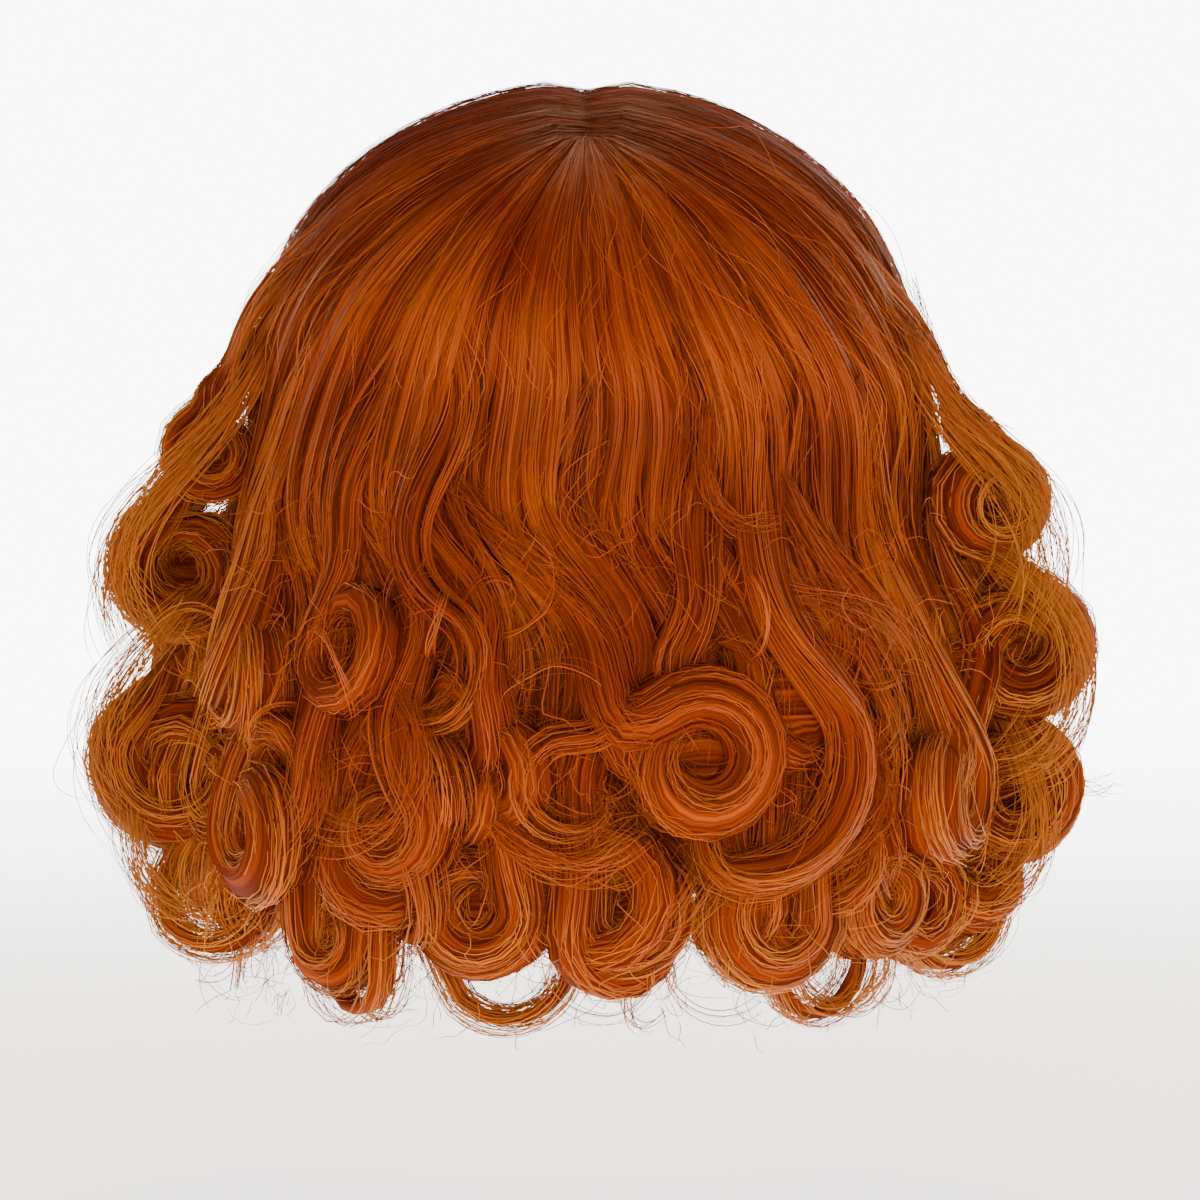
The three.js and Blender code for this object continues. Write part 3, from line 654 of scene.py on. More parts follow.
def rings_mesh(name: str, rings: Array, wrapped: bool = False) -> Piece:
    """Shapes a grid into a closed skin over rings of points.

    Args:
        name: the piece's name.
        rings: points, as rings x points round x 3. A ring of equal points closes an end.
        wrapped: whether the last ring meets the first.

    Returns:
        The piece, with UV maps that run round (u) and along (v): OFBake in shares, comb in metres.
    """
    along, around = rings.shape[:2]
    last = along - 1 + wrapped
    round_step = np.linalg.norm(np.roll(rings, -1, axis=1) - rings, axis=-1).mean(0)
    round_run = np.concatenate([[0], np.cumsum(round_step)])
    along_step = np.linalg.norm(np.diff(rings.mean(1), axis=0), axis=-1)
    along_run = np.concatenate([[0], np.cumsum(along_step), [0]])
    mesh = bmesh.new()
    bmesh.ops.create_grid(mesh, x_segments=around, y_segments=last, size=1)
    uv = mesh.loops.layers.uv.new("OFBake")
    comb = mesh.loops.layers.uv.new("comb")
    for vert in mesh.verts:
        column = round((vert.co.x + 1) / 2 * around)
        row = round((vert.co.y + 1) / 2 * last)
        for loop in vert.link_loops:
            loop[uv].uv = (column / around, row / last)
            loop[comb].uv = (round_run[column], along_run[row])
        vert.co = rings[row % along, column % around]
    bmesh.ops.remove_doubles(mesh, verts=mesh.verts, dist=MERGED)
    bmesh.ops.dissolve_degenerate(mesh, edges=mesh.edges, dist=DISSOLVED)
    bmesh.ops.recalc_face_normals(mesh, faces=mesh.faces)
    for face in mesh.faces:
        face.smooth = True
    data = bpy.data.meshes.new(name)
    mesh.to_mesh(data)
    mesh.free()
    return linked(name, data)


@dataclass
class Strands:
    """Many thin flat strands that become one mesh."""

    points: list[Array] = field(default_factory=list)
    facing: list[Array] = field(default_factory=list)
    widths: list[Array] = field(default_factory=list)
    traits: list[Array] = field(default_factory=list)

    def add(self, points: Array, facing: Array, width: float, tone: Array, depth: Array) -> None:
        """Adds strands of one length.

        Args:
            points: strands x steps x 3.
            facing: the way that each strand's flat side faces, shaped as points.
            width: the full width of a strand. It starts and ends thinner.
            tone: 0 to 1, how light each strand is.
            depth: 0 to 1, how near the top of its lock each strand, or each of its steps, lies, which sets
                its painted shade.
        """
        count, steps = points.shape[:2]
        along = np.linspace(0, 1, steps)
        taper = (0.55 + 0.45 * smooth(along, 0, 0.12)) * (1 - 0.85 * smooth(along, 0.8, 1))
        self.points.append(points)
        self.facing.append(facing)
        self.widths.append(np.full((count, 1), width) * taper)
        own = tone[:, None] + 0 * along
        traits = np.stack([own, along + 0 * own, depth.reshape(count, -1) + 0 * along], -1)
        self.traits.append(traits)

    def mesh(self, name: str) -> Piece:
        """Joins the strands into one piece.

        Args:
            name: the piece's name.

        Returns:
            The piece, with a column of its UV map and the attribute fibre for each strand.
        """
        total = sum(points.shape[0] for points in self.points)
        coordinates, corners, traits, uvs = [], [], [], []
        base = done = 0
        for points, facing, width, trait in zip(self.points, self.facing, self.widths, self.traits):
            count, steps = points.shape[:2]
            along = unit(np.gradient(points, axis=1))
            side = unit(np.cross(along, facing)) * (width / 2)[..., None]
            edges = np.stack([points - side, points + side], 2)
            coordinates.append(edges.reshape(-1, 3))
            traits.append(np.repeat(trait, 2, axis=1).reshape(-1, 3))
            first = base + (np.arange(count)[:, None] * steps + np.arange(steps - 1)) * 2
            quads = np.stack([first, first + 1, first + 3, first + 2], -1)
            corners.append(quads.reshape(-1))
            left = (done + np.arange(count)[:, None] + 0.1) / total + 0 * first
            right = left + 0.8 / total
            low = np.arange(steps - 1) / (steps - 1) + 0 * first
            high = low + 1 / (steps - 1)
            pairs = ((left, low), (right, low), (right, high), (left, high))
            uvs.append(np.stack([np.stack(pair, -1) for pair in pairs], 2).reshape(-1))
            base += count * steps * 2
            done += count
        data = bpy.data.meshes.new(name)
        spots = np.concatenate(coordinates)
        loops = np.concatenate(corners)
        data.vertices.add(len(spots))
        data.vertices.foreach_set("co", spots.astype(np.float32).ravel())
        data.loops.add(len(loops))
        data.loops.foreach_set("vertex_index", loops.astype(np.int32))
        data.polygons.add(len(loops) // 4)
        data.polygons.foreach_set("loop_start", np.arange(0, len(loops), 4, dtype=np.int32))
        data.uv_layers.new(name="OFBake").data.foreach_set("uv", np.concatenate(uvs).astype(np.float32))
        fibre = data.attributes.new("fibre", "FLOAT_VECTOR", "POINT")
        fibre.data.foreach_set("vector", np.concatenate(traits).astype(np.float32).ravel())
        data.update(calc_edges=True)
        data.shade_smooth()
        return linked(name, data)


def rolled(points: Array, facing: Array, roll: Array) -> Array:
    """Turns the flat side of each strand about its own run.

    Args:
        points: strands x steps x 3.
        facing: the way that each strand's flat side faces, shaped as points.
        roll: the angle for each strand, in radians.

    Returns:
        The way that each strand's flat side faces now.
    """
    along = unit(np.gradient(points, axis=1))
    side = unit(np.cross(along, facing))
    turn = roll.reshape(-1, 1, 1)
    return unit(np.cross(side, along)) * np.cos(turn) + side * np.sin(turn)


def frizz(rng: Chance, count: int, run: Array, waves: Sequence[float]) -> Array:
    """Smooth random bends of about unit size for each strand.

    Args:
        rng: the source of chance.
        count: how many strands.
        run: the place along each strand, count x steps.
        waves: how many bends there are from end to end.

    Returns:
        Bends, count x steps.
    """
    bends = np.zeros_like(run)
    for number in waves:
        phase = rng.uniform(0, 2 * np.pi, (count, 1))
        size = rng.normal(0, 1, (count, 1))
        bends += size * np.sin(2 * np.pi * number * run + phase)
    return bends / math.sqrt(len(waves))


def wobble(rng: Chance, count: int, run: Array, waves: Sequence[float]) -> Array:
    """Smooth random bends in each of the three directions.

    Args:
        rng: the source of chance.
        count: how many strands.
        run: the place along each strand, count x steps or 1 x steps.
        waves: how many bends there are from end to end.

    Returns:
        Bends, count x steps x 3.
    """
    placed = run + np.zeros((count, 1))
    return np.stack([frizz(rng, count, placed, waves) for _ in range(3)], -1)


class Signal:
    """A socket of a shader on which Python's operators work."""

    def __init__(self, shader: "Shader", socket: bpy.types.NodeSocket) -> None:
        """Wraps a socket."""
        self.shader = shader
        self.socket = socket

    def _math(self, operation: str, *values: "Signal | float") -> "Signal":
        """Adds a Math node."""
        return self.shader.add("ShaderNodeMath", {"operation": operation}, dict(enumerate(values)))

    def __add__(self, other: "Signal | float") -> "Signal":
        """The sum."""
        return self._math("ADD", self, other)

    def __radd__(self, other: float) -> "Signal":
        """The sum, the other way round."""
        return self._math("ADD", other, self)

    def __sub__(self, other: "Signal | float") -> "Signal":
        """The difference."""
        return self._math("SUBTRACT", self, other)

    def __rsub__(self, other: float) -> "Signal":
        """The difference from a number."""
        return self._math("SUBTRACT", other, self)

    def __mul__(self, other: "Signal | float") -> "Signal":
        """The product."""
        return self._math("MULTIPLY", self, other)

    def __rmul__(self, other: float) -> "Signal":
        """The product, the other way round."""
        return self._math("MULTIPLY", other, self)

    def __truediv__(self, other: "Signal | float") -> "Signal":
        """The quotient."""
        return self._math("DIVIDE", self, other)

    def __rtruediv__(self, other: float) -> "Signal":
        """The quotient of a number."""
        return self._math("DIVIDE", other, self)

    def size(self) -> "Signal":
        """The value without its sign."""
        return self._math("ABSOLUTE", self)

    def held(self) -> "Signal":
        """The value held between 0 and 1."""
        return self.shader.add("ShaderNodeClamp", {}, {"Value": self})


class Shader:
    """A material that is written as expressions."""

    def __init__(self, name: str) -> None:
        """Starts an empty material.

        Args:
            name: the material's name.
        """
        self.material = bpy.data.materials.new(name)
        self.material.use_nodes = True
        self.tree = self.material.node_tree
        self.tree.nodes.clear()

    def add(self, kind: str, settings: dict, inputs: dict, output: int | str = 0) -> Signal:
        """Adds a node.

        Args:
            kind: the node's type.
            settings: its own properties.
            inputs: values or signals for its sockets, by name or number.
            output: the socket to go on from, by name or number.

        Returns:
            The signal of that output.
        """
        node = self.tree.nodes.new(kind)
        for key, value in settings.items():
            setattr(node, key, value)
        for key, value in inputs.items():
            if isinstance(value, Signal):
                self.tree.links.new(value.socket, node.inputs[key])
            else:
                node.inputs[key].default_value = value
        return Signal(self, node.outputs[output])

    def mix(self, share: Signal | float, low: Signal | Colour, high: Signal | Colour) -> Signal:
        """Mixes two colours."""
        sides = [side if isinstance(side, Signal) else (*side, 1.0) for side in (low, high)]
        return self.add("ShaderNodeMix", {"data_type": "RGBA"}, {0: share, 6: sides[0], 7: sides[1]}, 2)

    def place(self) -> Signal:
        """The piece's own coordinates."""
        return self.add("ShaderNodeTexCoord", {}, {}, "Object")

    def stretched(self, vector: Signal, scale: Triple) -> Signal:
        """A vector that is scaled in each direction."""
        return self.add("ShaderNodeVectorMath", {"operation": "MULTIPLY"}, {0: vector, 1: scale})

    def noise(self, vector: Signal, scale: Triple, detail: float = 2.0) -> Signal:
        """Noise that is drawn out along a vector's directions."""
        over = self.stretched(vector, scale)
        return self.add("ShaderNodeTexNoise", {}, {"Vector": over, "Scale": 1.0, "Detail": detail})

    def split(self, vector: Signal) -> tuple[Signal, Signal, Signal]:
        """The three parts of a vector."""
        node = self.add("ShaderNodeSeparateXYZ", {}, {0: vector}).socket.node
        return tuple(Signal(self, socket) for socket in node.outputs)

    def bump(self, height: Signal, strength: float, distance: float) -> Signal:
        """A normal that follows a height."""
        return self.add("ShaderNodeBump", {}, {"Height": height, "Strength": strength, "Distance": distance})

    def finish(self, sockets: dict) -> bpy.types.Material:
        """Closes the material with a Principled surface.

        Args:
            sockets: values or signals for its sockets.

        Returns:
            The material.
        """
        surface = self.add("ShaderNodeBsdfPrincipled", {}, sockets)
        output = self.tree.nodes.new("ShaderNodeOutputMaterial")
        self.tree.links.new(surface.socket, output.inputs["Surface"])
        return self.material


@dataclass(frozen=True)
class HairFinish:
    """Glossy copper fibre: each strand has its own tone and lightens towards its tip; painted shade darkens
    strands that lie deep in their locks and the start of each strand, and a painted golden glow lights the
    sides and the hem.
    """

    name: str
    # deep is the colour of painted shade, for strands deep in their locks and at their starts
    deep: Colour = (0.095, 0.0072, 0.0006)
    body: Colour = (0.225, 0.0195, 0.0016)
    light: Colour = (0.46, 0.0800, 0.0060)
    golden: Colour = (0.56, 0.1800, 0.0160)
    roughness: float = 0.43
    own_tone: float = 0.32
    patch_tone: float = 0.7
    broad_tone: float = 1.35
    depth_shade: float = 0.5
    darker: float = 0.12
    # Where the painted golden glow of light through the hair starts at the sides and at the hem, and over
    # what width it fades in, in metres
    glow_from: float = 0.088
    glow_hem: float = -0.225
    glow_band: float = 0.055

    def edge(self, shader: Shader) -> Signal:
        """Finds where a painted golden glow stands for light that comes through the hair.

        Args:
            shader: the material that is written.

        Returns:
            1 at the two sides and the hem, 0 in the middle.
        """
        across, _, up = shader.split(shader.place())
        at_side = ((across.size() - self.glow_from) / self.glow_band).held()
        at_hem = ((self.glow_hem - up) / self.glow_band).held()
        return (at_side + at_hem).held()

    def make(self) -> bpy.types.Material:
        """Writes the material.

        Returns:
            The material.
        """
        shader = Shader(self.name)
        fibre = shader.add("ShaderNodeAttribute", {"attribute_name": "fibre"}, {}, "Vector")
        own, along, depth = shader.split(fibre)
        patch = shader.noise(shader.place(), (42.0, 42.0, 18.0))
        broad = shader.noise(shader.place(), (22.0, 22.0, 8.0), 1.0)
        tone = own * self.own_tone + (patch - 0.5) * self.patch_tone + (broad - 0.5) * self.broad_tone
        # depth lightens strands near the top of their locks and darkens deep ones: painted light and shade
        tone = (tone + depth * self.depth_shade - self.darker).held()
        base = shader.mix(tone, self.body, self.light)
        base = shader.mix((along * 2.2 - 1.35).held() * 0.3, base, self.golden)
        # Painted glow: the sides and the hem turn golden, as if light came through the hair
        base = shader.mix(self.edge(shader) * (own * 0.5 + 0.25), base, self.golden)
        # Painted shade: deep strands and the first part of each strand are mixed towards the deep colour
        base = shader.mix((depth * 0.75 + 0.36).held() * (along * 8.0 + 0.25).held(), self.deep, base)
        return shader.finish({
            "Base Color": base,
            "Roughness": (patch - 0.5) * 0.16 + own * 0.08 + self.roughness,
            "Specular IOR Level": 0.25,
            "Specular Tint": SHEEN,
        })


@dataclass(frozen=True)
class CoreFinish:
    """Combed hair seen as a mass: fine streaks run along the lock, or round it where it is turned; its
    colours are darker than the outer hair's as painted shade inside the locks, and the gaps between the
    streaks are painted darker still.
    """

    name: str
    # deep is painted shade in the gaps between the streaks
    deep: Colour = (0.028, 0.0020, 0.0003)
    body: Colour = (0.16, 0.0125, 0.0010)
    light: Colour = (0.36, 0.0520, 0.0034)
    streaks: float = 1300.0
    turned: bool = False

    def make(self) -> bpy.types.Material:
        """Writes the material.

        Returns:
            The material.
        """
        shader = Shader(self.name)
        comb = shader.add("ShaderNodeUVMap", {"uv_map": "comb"}, {}, 0)
        fine, broad = (
            shader.noise(comb, (along, across, 1.0) if self.turned else (across, along, 1.0), 3.0)
            for across, along in ((self.streaks, 12.0), (self.streaks / 3.2, 8.0))
        )
        patch = shader.noise(shader.place(), (30.0, 30.0, 18.0))
        tone = ((fine - 0.5) * 2.2 + (broad - 0.5) * 1.5 + (patch - 0.5) * 0.8 + 0.42).held()
        base = shader.mix(tone, self.body, self.light)
        # Painted shade in the gaps between the streaks
        base = shader.mix(((fine + broad) * 1.6 - 1.0).held(), self.deep, base)
        return shader.finish({
            "Base Color": base,
            "Roughness": 0.60 + (fine - 0.5) * 0.2,
            "Normal": shader.bump(fine + broad * 1.5, 0.9, 0.0006),
            "Specular IOR Level": 0.06,
            "Specular Tint": SHEEN,
        })


@dataclass(frozen=True)
class NetFinish:
    """Brown elastic net: crossed threads with small dark holes."""

    name: str
    thread: Colour = (0.17, 0.062, 0.028)
    worn: Colour = (0.24, 0.10, 0.05)
    hole: Colour = (0.022, 0.009, 0.005)
    pitch: float = 0.0022

    def make(self) -> bpy.types.Material:
        """Writes the material.

        Returns:
            The material.
        """
        shader = Shader(self.name)
        over = shader.stretched(shader.place(), (1 / self.pitch,) * 3)
        inputs = {"Vector": over, "Scale": 1.0}
        cells = shader.add("ShaderNodeTexVoronoi", {"feature": "DISTANCE_TO_EDGE"}, inputs)
        thread = (1 - cells * 5.0).held()
        patch = shader.noise(shader.place(), (60.0, 60.0, 60.0))
        base = shader.mix(thread, self.hole, shader.mix(patch, self.thread, self.worn))
        return shader.finish({
            "Base Color": base,
            "Roughness": 0.86 - thread * 0.12,
            "Normal": shader.bump(thread, 0.8, 0.0006),
        })


def settle(piece: Piece, material: bpy.types.Material, nodes: Iterable[str]) -> None:
    """Dresses a piece and sets it on the frame.

    Args:
        piece: the piece, in its place.
        material: its finish.
        nodes: the solids that it stands for.
    """
    piece.data.materials.append(material)
    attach(piece, "root")
    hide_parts(*nodes)
    piece.data.calc_loop_triangles()
    LOG.info("%s: %d triangles", piece.name, len(piece.data.loop_triangles))


def joined(name: str, parts: list[Piece]) -> Piece:
    """Joins parts into one piece, each with its own strip of the OFBake map.

    Args:
        name: the piece's name.
        parts: the parts, which are used up.

    Returns:
        The piece.
    """
    mesh = bmesh.new()
    for number, part in enumerate(parts):
        done = len(mesh.faces)
        mesh.from_mesh(part.data)
        mesh.faces.ensure_lookup_table()
        uv = mesh.loops.layers.uv["OFBake"]
        for face in mesh.faces[done:]:
            for loop in face.loops:
                loop[uv].uv.x = (number + loop[uv].uv.x * 0.96) / len(parts)
        data = part.data
        bpy.data.objects.remove(part)
        bpy.data.meshes.remove(data)
    data = bpy.data.meshes.new(name)
    mesh.to_mesh(data)
    mesh.free()
    return linked(name, data)


@dataclass
class WaveLock:
    """A broad lock that is combed from the whorl or the parting over the dome and falls in an S.

    Heights are in metres. Starts, tips and turns are reaches, 0 at the root and 1 at the widest level.
    """

    form: HairForm
    wave: Wave
    place: int
    strands: int = 312
    steps: int = 32
    sub_locks: int = 6
    sub_relief: float = 0.0013
    sub_gather: float = 0.45
    parting_crease: float = 0.0035
    crease_reach: float = 0.07
    overlap: float = 0.05
    lift: tuple[float, float] = (-0.0018, 0.0008)
    whole_share: float = 0.45
    later_start: tuple[float, float] = (0.05, 0.55)
    tip_scatter: float = 0.09
    tip_margin: float = 0.04
    tip_taper: float = 0.35
    tip_slimming: float = 0.65
    lock_sway: float = 0.03
    lock_lift: float = 0.0007
    lock_shift: float = 0.18
    lock_tone: float = 0.2
    stray: float = 0.008
    ripple: float = 0.00035
    roll: float = 0.32
    turn_in: tuple[float, float] = (0.6, 0.9)
    turn_out: tuple[float, float] = (1.15, 1.5)
    edge: float = 0.01
    core_depth: float = 0.0012
    core_rings: int = 40
    core_points: int = 17
    lining_points: tuple[float, ...] = (0.86, 0.62, 0.38, 0.14)
    rounding: int = 10

    @property
    def tip_reach(self) -> float:
        """The reach of the longest strand."""
        return 1 + self.wave.fall

    def height(self, across: Array, reach: Array) -> Array:
        """How far the outside of the lock stands off the smooth form.

        Args:
            across: 0 at the lock's first parting, 1 at its second.
            reach: 0 at the root, 1 at the widest level.

        Returns:
            Heights in metres.
        """
        place = self.place + across
        rise = read_table(WAVE_CROSS, across)
        at_root = self.form.groove_at_root
        groove = self.form.groove * (at_root + (1 - at_root) * smooth(reach, 0, 1))
        relief = RELIEF * np.cos(self.form.wave_angle(place, reach)) * smooth(reach, SWAY_START, SWAY_FULL)
        crease = self.parting_crease * (1 - smooth(reach, 0, self.crease_reach))
        return relief + groove * (rise - 1) - crease

    def rounding_weight(self, reach: Array) -> Array:
        """How much a point is rounded: most where the hair turns from the dome into its fall."""
        return 0.5 * (smooth(reach, *self.turn_in) * (1 - smooth(reach, *self.turn_out)))

    def core(self) -> Piece:
        """Models the inside of the lock.

        Returns:
            The piece.
        """
        across = np.linspace(self.edge, 1 - self.edge, self.core_points)
        lining = np.array(self.lining_points)
        reach = np.linspace(0, self.tip_reach - self.tip_margin, self.core_rings)
        outside_reach, outside_across = np.meshgrid(reach, across, indexing="ij")
        outside = self.form.outer(self.place + outside_across, outside_reach,
                                  self.height(outside_across, outside_reach) - self.core_depth)
        inside_reach, inside_across = np.meshgrid(reach, lining, indexing="ij")
        inside = self.form.inner(self.place + inside_across, inside_reach, self.form.lining(inside_reach))
        rings = np.concatenate([outside, inside], 1)
        middle = rings.mean(1, keepdims=True)
        taper = 1 - self.tip_slimming * smooth(reach, self.tip_reach - self.tip_taper, self.tip_reach)
        rings = middle + (rings - middle) * taper[:, None, None]
        softened(rings.swapaxes(0, 1), self.rounding_weight(reach), self.rounding)
        return rings_mesh(self.wave.name + "_core", capped(rings, middle))

    def hair(self, rng: Chance) -> Piece:
        """Combs the strands of the lock.

        Args:
            rng: the source of chance.

        Returns:
            The piece.
        """
        count = self.strands
        across = (np.arange(count) + rng.uniform(0, 1, count)) / count
        rng.shuffle(across)
        lift = rng.uniform(*self.lift, count)
        from_root = rng.uniform(0, 1, count) < self.whole_share
        start = np.where(from_root, 0.0, rng.uniform(*self.later_start, count))
        end = self.tip_reach - np.abs(rng.normal(0, self.tip_scatter, count)) + self.tip_margin
        run = np.linspace(0, 1, self.steps)[None, :]
        reach = start[:, None] + (end - start)[:, None] * (1.5 * run - 0.5 * run**2)
        lock = np.minimum((across * self.sub_locks).astype(int), self.sub_locks - 1)
        within = across * self.sub_locks - lock - 0.5
        lock_sway = rng.normal(0, self.lock_sway, self.sub_locks)[lock][:, None]
        lock_phase = rng.uniform(0, 2 * np.pi, self.sub_locks)[lock][:, None]
        lock_lift = rng.normal(0, self.lock_lift, self.sub_locks)[lock][:, None]
        loose = smooth(reach, 0.35, 1.0)
        gather = within[:, None] / self.sub_locks * self.sub_gather * smooth(reach, 0.7, 1.8)
        sway = lock_sway * np.sin(2 * np.pi * reach * 1.1 + lock_phase) * loose
        stray = frizz(rng, count, reach, (0.9, 2.1)) * self.stray * (0.35 + loose)
        placed = across[:, None] - gather + sway + stray
        over = self.overlap * (1 - smooth(reach, 0.8, 1.2))
        placed = np.clip(placed + (across[:, None] - 0.5) * 2 * over, -over, 1 + over)
        placed = np.clip(placed, -self.place, len(PARTINGS) - 1 - self.place)
        shift = rng.normal(0, self.lock_shift, self.sub_locks)[lock][:, None]
        bulge = self.sub_relief * (np.cos(np.pi * 2 * within)[:, None] * 0.5 + 0.1) * loose
        height = self.height(np.clip(placed, 0, 1), reach) + bulge + lock_lift * loose
        height = height + lift[:, None] * (0.35 + 0.65 * loose)
        height = height + frizz(rng, count, reach, (1.3, 3.2)) * self.ripple
        points = self.form.outer(self.place + placed, reach, height, shift)
        softened(points, self.rounding_weight(reach), self.rounding)
        facing = rolled(points, self.form.normal(points), rng.normal(0, self.roll, count))
        # Painted light and shade: strands in the grooves by the partings, lying low, at the sides of a
        # sub-lock, in the troughs of the S and near the roots get a lower depth and are painted darker;
        # strands on the crests are painted lighter.
        rise = read_table(WAVE_CROSS, across)
        depth = 0.25 + 0.45 * rise + lift / 0.0040 + 0.15 * np.cos(2 * np.pi * within)
        crest = np.cos(self.form.wave_angle(self.place + placed, reach) + shift)
        depth = depth[:, None] + 0.40 * crest * smooth(reach, 0.45, 1.0)
        depth = np.clip(depth - 0.22 * (1 - smooth(reach, 0.2, 1.0)), 0, 1)
        tone = rng.beta(2.0, 2.6, count) + rng.normal(0, self.lock_tone, self.sub_locks)[lock]
        tone = np.clip(tone, 0, 1)
        bundle = Strands()
        bundle.add(points, facing, STRAND_WIDTH, tone, depth)
        return bundle.mesh(self.wave.name + "_strands")

    def build(self, rng: Chance, finishes: Finishes) -> None:
        """Builds and dresses the lock."""
        settle(self.core(), finishes["core"], [self.wave.name])
        settle(self.hair(rng), finishes["hair"], [self.wave.name])


@dataclass
class Guide:
    """The middle line of a lock, with the axes and half sizes of its section.

    core_from is about the share of its length at which the lock starts to swell towards its coil.
    """

    centre: Array
    axis: Array
    half_width: Array
    half_depth: Array
    core_from: float
    share: Array = field(init=False)
    sideways: Array = field(init=False)
    deep: Array = field(init=False)

    def __post_init__(self) -> None:
        """Works out the share of the length at each point and the section's axes."""
        steps = np.linalg.norm(np.diff(self.centre, axis=0), axis=1)
        self.share = np.concatenate([[0], np.cumsum(steps)]) / steps.sum()
        along = unit(np.gradient(self.centre, axis=0))
        self.sideways = unit(np.cross(along, self.axis))
        self.deep = unit(np.cross(along, self.sideways))

    def read(self, share: Array, values: Array) -> Array:
        """Reads values of the guide.

        Args:
            share: where to read them, as shares of its length.
            values: a value or a vector for each of its points.

        Returns:
            The values there.
        """
        if values.ndim == 1:
            return np.interp(share, self.share, values)
        return np.stack([np.interp(share, self.share, values[:, axis]) for axis in range(3)], -1)

    def place(self, share: Array, sideways: Array, deep: Array) -> Array:
        """Places points beside the middle line.

        Args:
            share: where along the line, as shares of its length.
            sideways: how far across, as shares of the section's half width.
            deep: how far out, as shares of the section's half depth.

        Returns:
            The points.
        """
        width = self.read(share, self.half_width) * sideways
        depth = self.read(share, self.half_depth) * deep
        across = self.read(share, self.sideways) * width[..., None]
        return self.read(share, self.centre) + across + self.read(share, self.deep) * depth[..., None]


